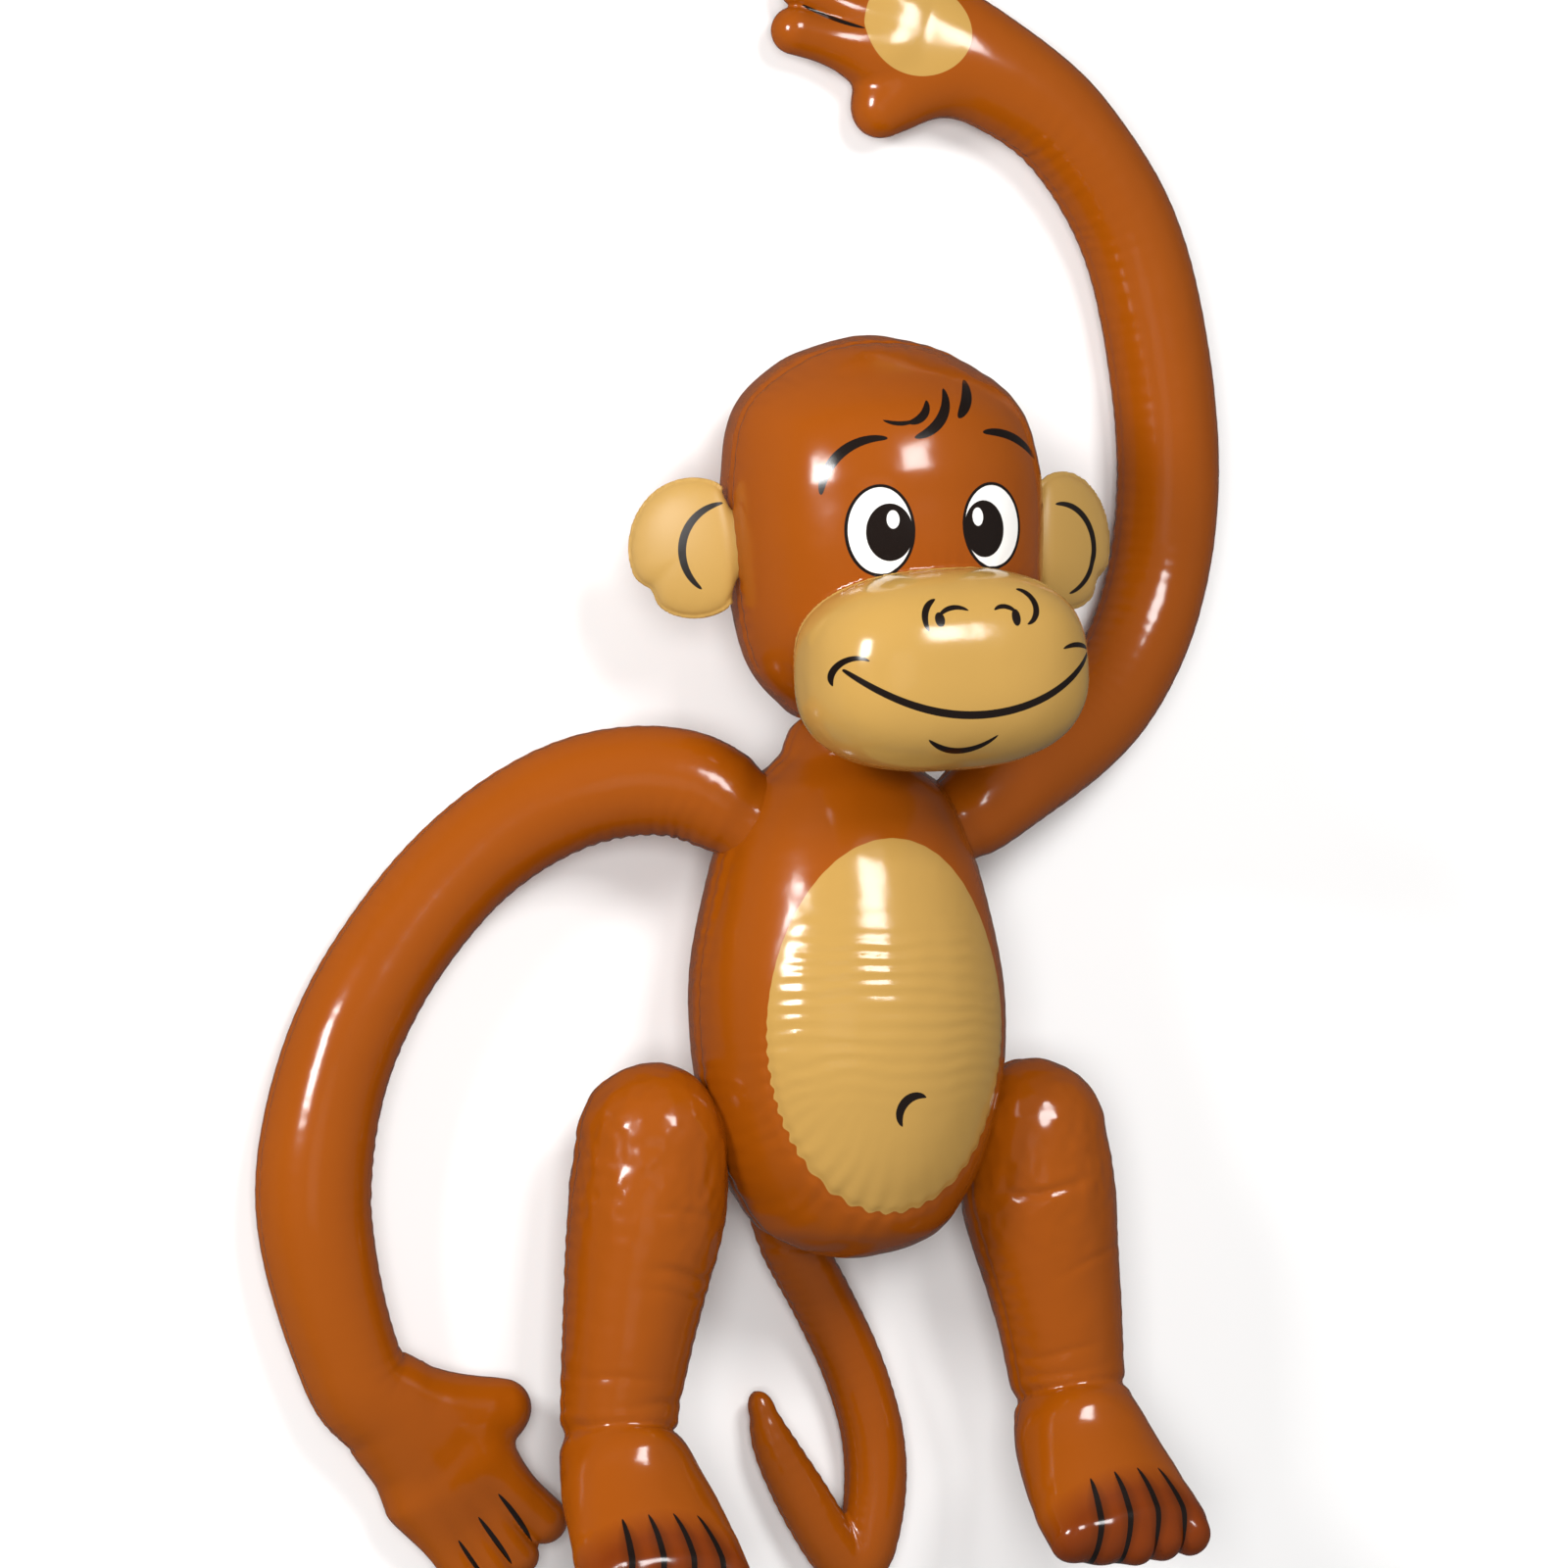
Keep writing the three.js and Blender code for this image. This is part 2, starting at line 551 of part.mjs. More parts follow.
// The weld lines: each form stops a gap short of the one that carries it
const headGrown = namedMesh("", headGeometry(WELD_GAP), BROWN_VINYL);
placeHead(new THREE.Group()).add(headGrown);
const headCutter = placedSolid(headGrown);
const torsoCutter = placedSolid(makeTorso(WELD_GAP));
trim(head, floorBlock);
trim(torso, headCutter, floorBlock);
ears.forEach((ear) => trim(ear, headCutter));
limbs.forEach((limb) => trim(limb, torsoCutter, floorBlock));

export default figure;
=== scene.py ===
"""The looks of a blow-up toy monkey of glossy welded vinyl film, lying on its back on a pale floor.

Shapes are worked out in millimetres as distance fields, one for each air chamber, and meshed from those.
+X is the monkey's own left, +Y is towards its head and +Z is out of its belly, away from the floor.
"""
import math

import bpy
import numpy as np
from mathutils import Matrix, Vector


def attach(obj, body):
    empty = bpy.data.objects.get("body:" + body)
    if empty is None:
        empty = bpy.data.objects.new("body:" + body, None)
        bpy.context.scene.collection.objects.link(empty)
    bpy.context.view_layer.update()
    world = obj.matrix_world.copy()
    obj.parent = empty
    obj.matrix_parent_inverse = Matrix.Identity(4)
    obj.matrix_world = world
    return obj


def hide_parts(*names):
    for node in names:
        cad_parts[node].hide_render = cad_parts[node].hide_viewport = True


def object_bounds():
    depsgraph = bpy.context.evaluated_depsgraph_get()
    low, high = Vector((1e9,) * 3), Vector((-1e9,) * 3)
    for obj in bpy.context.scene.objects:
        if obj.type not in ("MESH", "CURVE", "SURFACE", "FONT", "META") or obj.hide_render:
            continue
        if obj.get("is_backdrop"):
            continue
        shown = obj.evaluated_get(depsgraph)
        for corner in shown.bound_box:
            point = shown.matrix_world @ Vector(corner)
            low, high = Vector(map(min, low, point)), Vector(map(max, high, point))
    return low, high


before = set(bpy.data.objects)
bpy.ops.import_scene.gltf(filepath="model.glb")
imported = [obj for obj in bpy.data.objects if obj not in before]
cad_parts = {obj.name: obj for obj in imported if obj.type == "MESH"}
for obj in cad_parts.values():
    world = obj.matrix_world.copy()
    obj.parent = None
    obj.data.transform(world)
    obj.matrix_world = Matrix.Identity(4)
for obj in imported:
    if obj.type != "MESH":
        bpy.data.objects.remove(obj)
cad_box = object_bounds()

MM = 0.001
FINE = 1.25  # mesh step over the film
FINE_EAR = 0.8

# Sizes of the toy, as in the part, in millimetres and degrees
FLOOR_PRESS = 1.5  # how far the torso and head flatten against the floor
LIMB_PRESS = 0.6  # the same for an arm and the tail
TORSO_LENGTH = 196
TORSO_WIDTH = 111
TORSO_DEPTH = 104
TORSO_BELOW_ORIGIN = 82  # from the origin down to the bottom of the torso
TORSO_MIDDLE = TORSO_DEPTH / 2 - FLOOR_PRESS
HEAD_HEIGHT = 139.5
HEAD_WIDTH = 112
HEAD_DEPTH = 124
HEAD_OVERLAP = 16  # how far the neck stub runs up past the chin
HEAD_SIDE_SHIFT = 9  # the head leans towards the raised arm
HEAD_ROLL = 2.7
HEAD_TURN = 5  # towards its right
SKULL_BACK = 0.59  # share of the head's depth that lies behind its widest line
CHIN = TORSO_LENGTH - TORSO_BELOW_ORIGIN - HEAD_OVERLAP
HEAD_PLACE = (HEAD_SIDE_SHIFT, CHIN, HEAD_DEPTH * SKULL_BACK - FLOOR_PRESS)
MUZZLE_SIZE = (99, 68.5, 78)
MUZZLE_PLACE = (4, 22.5, 43)  # from the chin end of the head's middle line
MUZZLE_ROLL = 1  # on top of the head's
MUZZLE_SQUARENESS = 2.6  # 2 is a plain ellipsoid, and more is squarer with a flatter front
EAR_HEIGHT = 46.5
EAR_REACH = 35  # how far an ear stands out of the head
EAR_THICKNESS = 12
EAR_SINK = 9  # how far its root runs into the head before the weld
EAR_UP = 66.7  # from the chin end of the head to between the middles of the two ears
EAR_UNEVEN = 1.3  # how far the right ear is above that and the left one below
EAR_SWEEP = 28  # how far an ear leans back
EAR_NOTCH = 2.6  # depth of the nick in the rim
RAISED_ARM_LENGTH = 284  # from the shoulder to the palm, along the body
LOWERED_ARM_LENGTH = 211
ARM_RADIUS = 19.5
SHOULDER_UP = 143  # from the bottom of the torso
SHOULDER_INSET = 30  # from the widest side of the torso in to the root of the arm
SHOULDER = (TORSO_WIDTH / 2 - SHOULDER_INSET, SHOULDER_UP - TORSO_BELOW_ORIGIN)
HAND_LENGTH = 47  # from the middle of the palm to that of the longest finger's tip
FINGER_RADIUS = 7
THUMB_RADIUS = 8.2
LEG_LENGTH = 136  # from the hip to where the toes start, along the body
LEG_RADIUS = 27
HIP_OUTSET = 15.5  # from the widest side of the torso out to the middle of the thigh
HIP_UP = 40  # from the bottom of the torso
HIP_BACK = 3  # behind the torso's widest line
HIP = (TORSO_WIDTH / 2 + HIP_OUTSET, HIP_UP - TORSO_BELOW_ORIGIN, TORSO_MIDDLE - HIP_BACK)
RIGHT_LEG_LONGER = 9  # the right leg hangs lower than the left one
RIGHT_FOOT_INWARD = 6  # the right foot's end turns in towards the middle
TOE_RADIUS = 6.6
TOE_SPREAD = 11.2
TOES = 5
TOE_BACK = 5  # from the end of the foot back to where the toes start
TOE_LENGTH = 12
TAIL_LENGTH = 115  # from the bottom of the torso to the bend
TAIL_RADIUS = 11
VALVE_FLANGE_RADIUS = 9
VALVE_STEM_RADIUS = 4.6
VALVE_CAP_RADIUS = 6.2
VALVE_STAND = 4.5  # how far the closed valve stands out of the film
VALVE_RIM = 0.9  # of that, the edge of the flange
VALVE_CAP_THICKNESS = 2
VALVE_UP = 92  # from the bottom of the torso
VALVE_TURN = 47  # round from straight back towards the left side

# [height, half width, front, back, shift], in shares
TORSO_ROWS = [
    [0, 0, 0, 0, 0],
    [0.036, 0.5, 0.5, 0.5, 0],
    [0.116, 0.74, 0.74, 0.74, 0],
    [0.211, 0.885, 0.89, 0.88, 0],
    [0.35, 0.985, 1, 0.98, 0],
    [0.495, 1, 1, 1, 0],
    [0.634, 0.915, 0.9, 0.93, 0],
    [0.737, 0.81, 0.78, 0.83, 0],
    [0.825, 0.66, 0.64, 0.68, 0],
    [0.885, 0.43, 0.46, 0.48, 0],
    [0.94, 0.33, 0.38, 0.38, 0],
    [1, 0, 0, 0, 0],
]
HEAD_ROWS = [
    [0, 0, 0, 0, -0.1],
    [0.05, 0.5, 0.5, 0.36, -0.08],
    [0.1, 0.69, 0.68, 0.5, -0.05],
    [0.18, 0.86, 0.84, 0.68, -0.02],
    [0.28, 0.94, 0.92, 0.84, 0],
    [0.44, 0.975, 1, 0.97, 0],
    [0.57, 0.99, 1, 1, 0],
    [0.67, 0.97, 0.985, 1, 0],
    [0.78, 0.92, 0.94, 0.92, -0.025],
    [0.86, 0.805, 0.81, 0.81, -0.06],
    [0.93, 0.585, 0.6, 0.61, -0.1],
    [0.97, 0.375, 0.39, 0.4, -0.12],
    [1, 0, 0, 0, -0.13],
]
# [x, y, lift, half width, half thickness] from the shoulder, in shares of the arm's length and radius
RAISED_ARM = [
    [0, 0, 1, 0.8, 0.8],
    [0.113, 0.06, 0.9, 0.87, 0.87],
    [0.292, 0.174, 0.3, 0.9, 0.9],
    [0.38, 0.324, 0, 0.93, 0.93],
    [0.396, 0.514, 0, 0.95, 0.95],
    [0.352, 0.746, 0, 0.93, 0.93],
    [0.257, 0.894, 0, 0.93, 0.93],
    [0.13, 0.977, 0, 1.08, 0.88],
    [0.053, 1, 0, 1.32, 0.76],
]
LOWERED_ARM = [
    [0, 0, 1, 0.84, 0.84],
    [0.142, 0.097, 0.6, 0.97, 0.97],
    [0.322, 0.078, 0.16, 0.98, 0.98],
    [0.519, -0.057, 0, 0.95, 0.95],
    [0.694, -0.301, 0, 0.98, 0.98],
    [0.756, -0.578, 0, 1.02, 1.02],
    [0.69, -0.848, 0, 0.92, 0.92],
    [0.616, -0.927, 0, 1.04, 0.86],
    [0.531, -1, 0, 1.3, 0.76],
]
ARM_ROOT_CAP = 0.41  # length of the rounded end, in shares of ARM_RADIUS
PALM_CAP = 1.13
RAISED_HAND_TURN = 158  # from +X to the way that the fingers point
LOWERED_HAND_TURN = -51.5
# [start, its side offset, tip, its side offset, share of the finger's radius] in shares of the hand
FINGERS = [
    [0.26, 0.2, 0.91, 0.315, 1.22],
    [0.26, 0, 1, 0.015, 0.95],
    [0.26, -0.19, 0.98, -0.205, 0.92],
    [0.21, -0.37, 0.85, -0.415, 0.9],
]
THUMB = [-0.24, 0.22, 0.06, 0.61]
TAIL_CAPS = (0.73, 0.75)  # lengths of the rounded ends, in shares of TAIL_RADIUS
# [x outwards, y, z, half width, half thickness] from the hip, in shares of the leg's length and radius
LEG_ROWS = [
    [0, 0, 0, 1, 1],
    [0.026, -0.191, 0.007, 1, 1],
    [0.074, -0.449, 0.015, 0.84, 0.84],
    [0.103, -0.662, 0.022, 0.76, 0.76],
    [0.107, -0.787, 0.096, 0.92, 0.76],
    [0.12, -0.919, 0.228, 1.07, 0.62],
    [0.136, -1, 0.316, 1.06, 0.48],
]
ANKLE = 0.66  # share of the leg down to the ankle
HEEL = 0.74  # share of it from which the right foot turns in
FOOT_CAP = 0.33  # length of the rounded end, in shares of LEG_RADIUS
# [x, y, height over rest, share of the tail's radius] from the bottom of the torso, in shares of its length
TAIL_ROWS = [
    [-0.209, 0.348, 0.183, 1],
    [-0.122, 0.087, 0.122, 1],
    [0.035, -0.148, 0.043, 1],
    [0.157, -0.357, 0, 1],
    [0.226, -0.565, 0, 1],
    [0.239, -0.748, 0, 1],
    [0.209, -0.922, 0, 0.98],
    [0.161, -1, 0, 0.9],
]
TAIL_TIP_ROWS = [
    [0.148, -0.991, 0, 0.9],
    [0.07, -0.887, 0, 0.9],
    [-0.017, -0.748, 0, 0.85],
    [-0.1, -0.6, 0, 0.68],
    [-0.135, -0.504, 0, 0.44],
]

# Sizes of the film's own shape and print, which the part leaves out
BELLY_MIDDLE = (1, -1)  # of the tan panel, in the torso's frame
BELLY_HALF = (44.3, 64.5)
BELLY_RADIUS = 46  # makes millimetres of shares of the panel's size, near its rim
BELLY_SCALLOPS = 55
BELLY_SAG = 1.6  # fuller below its middle by this, and flatter above
RIPPLE_SPACING = 5.6
FACE_ROLL = 1.7  # of the printed face, a little less than the head's
MUZZLE_RADIUS = 46  # of the weld round the muzzle
CROWN_RADIUS = 60  # of the weld over the crown, and its middle's height over the chin
NOTCH_TURN = -0.72  # radians round the ear
NOTCH_WIDTH = 0.2
EAR_PUCKERS = 22
EAR_FLANGE = 1.045  # reach of the welded edge, in shares of the pillow's
FLANGE_HALF = 0.7  # half its thickness
RIGHT_EAR_LINE = (1.5, 15), (15.8, 0.5), (9.8, -14.3)
LEFT_EAR_LINE = (4.5, 12.8), (22.2, -2.6), (10.5, -18.4)
FOLD_SPACING = 6.5  # inside the bends of the arms
WEB = 1.2  # rounding between fingers and between toes
THUMB_ROOT = 4  # the same where the thumb leaves the hand
WRIST = 13
TOE_ROOT = 5
PALM_PATCH = (5, -2.5), (19, 17.5)  # middle and half size
KNEE_BULGE = (14, 22)  # distance down the leg, and half width
INSTEP = (17, 8, 12, 1.8)  # past the ankle, half length, half width and height of the swell

# Boxes that hold the chambers, where their meshes are looked for
TORSO_BOX = (-62, -88, -3), (62, 120, 110)
HEAD_BOX = (-60, 80, -3), (80, 246, 162)
TAIL_BOX = (-42, -214, -3), (48, -40, 46)
EAR_BOX = (-12, 40), (-29, 29), (-9, 9)  # ranges in the ear's own frame
ARM_HEIGHTS = (-3, 76)
HAND_ROOM = 58  # round the middle of the palm
ARM_ROOM = 24
LEG_ROOM = 34
TOE_ROOM = 8

# Short creases in the legs: [distance down the leg, place across it, depth, half width]
LEFT_CREASES = [
    [16, -8, 1.2, 1.7],
    [46, 8, 0.45, 1.5],
    [74, -10, 0.5, 1.6],
    [83, -12, 0.6, 1.6],
]
RIGHT_CREASES = [
    [25, 5, 0.6, 1.5],
    [45, 10, 1.1, 1.8],
    [52, 10, 0.5, 1.4],
    [80, -10, 0.5, 1.6],
    [90, 10, 0.7, 1.8],
]

UP = np.array([0.0, 0.0, 1.0])


# Distance fields: each takes points as rows and gives how far each is outside the film, in millimetres

def smooth_rows(rows, s):
    """The rows at each s, from 0 at the first to 1 at the last, on a smooth curve through all of them."""
    rows = np.asarray(rows, float)
    last = len(rows) - 1
    i = np.minimum((np.asarray(s) * last).astype(int), last - 1)
    t = (np.asarray(s) * last - i)[:, None]
    a, b, c, d = (rows[np.clip(i + k, 0, last)] for k in (-1, 0, 1, 2))
    return 0.5 * (2 * b + (c - a) * t + (2 * a - 5 * b + 4 * c - d) * t**2 + (3 * b - a - 3 * c + d) * t**3)


def body_field(rows, length, width, front, back):
    """A rounded body along Y whose widest line lies in the plane z = 0."""
    flip = np.array([1, -1, -1, -1, 1])
    mirrored = [np.array(rows[1]) * flip, *rows, np.array(rows[-2]) * flip]
    spans = len(mirrored) - 1
    table = smooth_rows(mirrored, np.linspace(1 / spans, 1 - 1 / spans, 600))
    y = table[:, 0] * length

    def square(column, size):
        return (np.clip(table[:, column], 0, None) * size) ** 2

    wide, up, down = square(1, width / 2), square(2, front), square(3, back)
    shift = table[:, 4] * (front + back)
    slope = np.abs(np.gradient(np.sqrt(wide), y)).clip(0, 5)

    def field(p):
        across = np.interp(p[:, 1], y, wide).clip(0.5)
        z = p[:, 2] - np.interp(p[:, 1], y, shift)
        through = np.where(z > 0, np.interp(p[:, 1], y, up), np.interp(p[:, 1], y, down)).clip(0.5)
        size = np.sqrt(np.minimum(across, through)).clip(3)
        radial = (np.sqrt(p[:, 0] ** 2 / across + z**2 / through) - 1) * size
        level = radial / np.sqrt(1 + np.interp(p[:, 1], y, slope) ** 2)
        return np.maximum(level, np.maximum(-p[:, 1], p[:, 1] - length))

    return field


def at(near, values):
    """The value at places between the steps of a tube, from the values at its steps."""
    return np.interp(near, np.arange(len(values)), values)


class Tube:
    """A round-ended tube along rows of [x, y, z, half width, half thickness]."""

    def __init__(self, rows, level, start_cap, end_cap, count=90):
        table = smooth_rows(rows, np.linspace(0, 1, count))
        self.table = table
        self.centre = table[:, :3]
        step = np.gradient(self.centre, axis=0)
        self.spacing = np.linalg.norm(step, axis=1)
        self.along = step / self.spacing[:, None]
        across = np.cross(level, self.along)
        self.across = across / np.linalg.norm(across, axis=1)[:, None]
        self.through = np.cross(self.along, self.across)
        self.length = np.concatenate([[0], np.cumsum(np.linalg.norm(np.diff(self.centre, axis=0), axis=1))])
        self.caps = (start_cap, end_cap)
        turn = np.gradient(self.along, axis=0) / self.spacing[:, None]
        self.bend = (turn * self.across).sum(1)

    def place(self, p):
        """Where points lie: across, through, beyond an end, the place along in rows, in that order."""
        square = (self.centre**2).sum(1)
        blocks = np.array_split(p, max(1, len(p) // 20000))
        near = np.concatenate([np.argmin(square - 2 * block @ self.centre.T, axis=1) for block in blocks])
        for _ in range(2):
            whole = np.clip(np.round(near).astype(int), 0, len(self.centre) - 1)
            forward = ((p - self.centre[whole]) * self.along[whole]).sum(1) / self.spacing[whole]
            near = np.clip(whole + forward, 0, len(self.centre) - 1)

        def here(rows):
            return np.stack([at(near, column) for column in rows.T], 1)

        offset = p - here(self.centre)
        ended = (near <= 0) | (near >= len(self.centre) - 1)
        beyond = (offset * here(self.along)).sum(1) * ended
        return (offset * here(self.across)).sum(1), (offset * here(self.through)).sum(1), beyond, near

    def field(self, p):
        a, b, beyond, near = self.place(p)
        half, thick = (at(near, self.table[:, k]) for k in (3, 4))
        cap = np.where(beyond < 0, *self.caps)
        size = np.sqrt((a / half) ** 2 + (b / thick) ** 2 + (beyond / cap) ** 2)
        return (size - 1) * np.minimum(half, thick)


def blended(a, b, soft):
    """Two fields joined, with a rounded corner of about that size between them."""
    def field(p):
        one, two = a(p), b(p)
        mix = np.clip(0.5 + 0.5 * (two - one) / soft, 0, 1)
        return two + (one - two) * mix - soft * mix * (1 - mix)
    return field


def carried_by(limb, carrier, sink=3.0, pinch=1.3, reach=5.0):
    """A limb cut off just inside the film that carries it, and pinched where the two are welded."""
    def field(p):
        depth = carrier(p)
        return np.maximum(limb(p) + pinch * np.exp(-((depth / reach) ** 2)), -(depth + sink))
    return field


def near_only(field, centre, reach):
    """The same field, worked out only within reach of a point and taken as far off elsewhere."""
    def limited(p):
        value = np.full(len(p), 100.0)
        close = np.flatnonzero(((p - centre) ** 2).sum(1) < reach**2)
        value[close] = field(p[close])
        return value
    return limited


def on_skin(field, p, rounds=2, step=0.2):
    """Points moved onto the film, and the directions out of it."""
    for _ in range(rounds):
        value = field(p)
        slope = np.stack([field(p + move) - value for move in np.eye(3) * step], 1) / step
        square = (slope**2).sum(1).clip(0.05)
        move = -(value / square)[:, None] * slope
        far = np.linalg.norm(move, axis=1)[:, None].clip(1e-9)
        p = p + move * np.minimum(1, 1.0 / far)
    return p, slope / np.linalg.norm(slope, axis=1)[:, None].clip(1e-9)


def skin_of(field, low, high, step):
    """Vertices and quads over the zero of a field, one vertex in each grid cell that it crosses."""
    coarse = 4
    axes = [np.arange(l, h + step * coarse, step * coarse) for l, h in zip(low, high)]
    middles = np.stack(np.meshgrid(*axes, indexing="ij"), -1).reshape(-1, 3) + step * (coarse - 1) / 2
    value = field(middles).reshape([len(a) for a in axes])
    for k in range(3):
        value = np.repeat(value, coarse, axis=k)
    fine = [a[0] + step * np.arange(len(a) * coarse) for a in axes]
    near = np.argwhere(np.abs(value) < step * coarse * 1.4)
    points = np.stack([fine[k][near[:, k]] for k in range(3)], 1)
    value[tuple(near.T)] = field(points)
    sizes = np.array(value.shape) - 1
    inside = value < 0
    offsets = np.array(list(np.ndindex(2, 2, 2)))

    def corner(array, o):
        return array[o[0]:o[0] + sizes[0], o[1]:o[1] + sizes[1], o[2]:o[2] + sizes[2]]

    filled = sum(corner(inside, o).astype(int) for o in offsets)
    cells = np.argwhere((filled > 0) & (filled < 8))
    index = np.full(sizes, -1)
    index[tuple(cells.T)] = np.arange(len(cells))
    total, hits = np.zeros((len(cells), 3)), np.zeros(len(cells))
    for i, first in enumerate(offsets):
        for second in offsets[i + 1:]:
            if np.abs(first - second).sum() != 1:
                continue
            one, two = value[tuple((cells + first).T)], value[tuple((cells + second).T)]
            crossed = (one < 0) != (two < 0)
            part = np.where(crossed, one / np.where(crossed, one - two, 1), 0)
            total += crossed[:, None] * (cells + first + part[:, None] * (second - first))
            hits += crossed
    vertices = np.array([a[0] for a in fine]) + step * total / hits[:, None]
    quads = []
    for k in range(3):
        ahead, *sides = np.roll(np.eye(3, dtype=int), -k, axis=0)
        here = inside[:-1, :-1, :-1]
        there = corner(inside, ahead)
        for leaving in (True, False):
            edges = np.argwhere((here != there) & (here == leaving))
            edges = edges[(edges > 0).all(1)]
            ring = [edges, edges - sides[0], edges - sides[0] - sides[1], edges - sides[1]]
            faces = np.stack([index[tuple(r.T)] for r in ring], 1)
            quads.append(faces if leaving else faces[:, ::-1])
    return vertices, np.concatenate(quads)


def evened(vertices, quads, field, rounds=2):
    """The same mesh with its vertices spread more evenly over the film."""
    pairs = np.concatenate([quads[:, [k, (k + 1) % 4]] for k in range(4)])
    count = np.bincount(pairs.ravel(), minlength=len(vertices)).clip(1)
    for _ in range(rounds):
        total = np.zeros_like(vertices)
        for k in range(3):
            total[:, k] = np.bincount(pairs[:, 0], vertices[pairs[:, 1], k], len(vertices))
            total[:, k] += np.bincount(pairs[:, 1], vertices[pairs[:, 0], k], len(vertices))
        vertices, _ = on_skin(field, 0.5 * vertices + 0.5 * total / count[:, None], 1)
    return on_skin(field, vertices)


def film_of(field, low, high, step=FINE):
    """Vertices spread evenly over the film, the directions out of it there, and quads."""
    vertices, quads = skin_of(field, low, high, step)
    vertices, normals = evened(vertices, quads, field)
    return vertices, normals, quads


# Relief of welded film

def lattice_noise(p, size, seed):
    """Smooth noise from -1 to 1 whose lumps are about that many millimetres across."""
    q = p / size + seed * 17.31
    cell = np.floor(q).astype(np.int64)
    t = q - cell
    t = t * t * (3 - 2 * t)
    total = np.zeros(len(p))
    for corner in np.ndindex(2, 2, 2):
        x, y, z = (cell + corner).T
        mixed = (x * 73856093) ^ (y * 19349663) ^ (z * 83492791) ^ (seed * 2654435761)
        mixed = (mixed ^ (mixed >> 13)) * 1274126177 & 0x7FFFFFFF
        total += np.where(corner, t, 1 - t).prod(1) * (mixed / 0x3FFFFFFF - 1)
    return total


def seam(aside, run, p, depth=0.7, pucker=0.35, spacing=6.0, reach=8.0, seed=1):
    """A weld line with the small puckers that stand square to it. aside is the distance from the line and
    run the way along it."""
    uneven = lattice_noise(p, 14.0, seed)
    wave = np.cos(2 * np.pi * (run + 2.4 * uneven) / spacing)
    strength = pucker * (0.75 + 0.6 * lattice_noise(p, 30.0, seed + 1))
    sides = np.exp(-np.abs(aside) / reach) * (1 - 0.6 * np.exp(-((aside / 1.2) ** 2)))
    return strength * wave * sides - depth * np.exp(-((aside / 1.1) ** 2))


def slackness(p, seed, large=0.35, small=0.07):
    """The slow swell of film under low pressure, and its fine crumple."""
    return large * lattice_noise(p, 26.0, seed) + small * lattice_noise(p, 6.5, seed + 5)


def raised(vertices, normals, relief, calm=4):
    """Vertices moved out by a relief that is calmed within that many millimetres of the floor."""
    grounded = np.clip(vertices[:, 2] / calm, 0, 1)
    return vertices + normals * (relief * grounded)[:, None]


# Meshes

def mesh_object(name, vertices, quads, **marks):
    """A shaded mesh. Of its marks, spot is where each point lies in the piece's own printing frame, and
    panel how far that is inside a tan panel."""
    mesh = bpy.data.meshes.new(name)
    mesh.vertices.add(len(vertices))
    mesh.vertices.foreach_set("co", (vertices * MM).astype(np.float32).ravel())
    mesh.loops.add(quads.size)
    mesh.loops.foreach_set("vertex_index", quads.astype(np.int32).ravel())
    mesh.polygons.add(len(quads))
    mesh.polygons.foreach_set("loop_start", np.arange(0, quads.size, 4, dtype=np.int32))
    mesh.update(calc_edges=True)
    mesh.validate()
    mesh.shade_smooth()
    for key, values in marks.items():
        kind, slot = ("FLOAT_VECTOR", "vector") if values.ndim == 2 else ("FLOAT", "value")
        layer = mesh.attributes.new(key, kind, "POINT")
        layer.data.foreach_set(slot, values.astype(np.float32).ravel())
    made = bpy.data.objects.new(name, mesh)
    bpy.context.scene.collection.objects.link(made)
    return made


def finished(made, node, material):
    """A piece given its material and tied to the part."""
    made.data.materials.append(material)
    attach(made, "root")
    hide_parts(node)


def frame_of(place, roll=0.0, turn=0.0):
    """The matrix from a piece's own frame to the toy's."""
    turned = Matrix.Rotation(math.radians(roll), 4, "Z") @ Matrix.Rotation(math.radians(turn), 4, "Y")
    return Matrix.Translation(Vector(place)) @ turned


def moved(matrix, p):
    """Points put through a matrix."""
    m = np.array(matrix)
    return p @ m[:3, :3].T + m[:3, 3]


def in_frame(field, matrix):
    """A field given in a piece's own frame, for points in the toy's."""
    back = matrix.inverted()
    return lambda p: field(moved(back, p))


def above_floor(field, soft=1.5):
    """Film flattened where it presses on the floor, with a rounded edge of about that size."""
    def pressed(p):
        one, two = field(p), -p[:, 2]
        mix = np.clip(0.5 + 0.5 * (two - one) / soft, 0, 1)
        return one + (two - one) * mix + soft * mix * (1 - mix) * 0.5
    return pressed


# Shaders

def rgb(hex_colour):
    """An sRGB hex colour as linear values."""
    values = [int(hex_colour[i:i + 2], 16) / 255 for i in (1, 3, 5)]
    return (*(v / 12.92 if v <= 0.04045 else ((v + 0.055) / 1.055) ** 2.4 for v in values), 1.0)


def add(tree, kind, inputs=(), output=0, **settings):
    """One of the outputs of a new shader node, made with its settings and with inputs set or linked."""
    made = tree.nodes.new("ShaderNode" + kind)
    for key, value in settings.items():
        setattr(made, key, value)
    for key, value in dict(inputs).items():
        if isinstance(value, bpy.types.NodeSocket):
            tree.links.new(value, made.inputs[key])
        else:
            made.inputs[key].default_value = value
    return made.outputs[output] if made.outputs else None


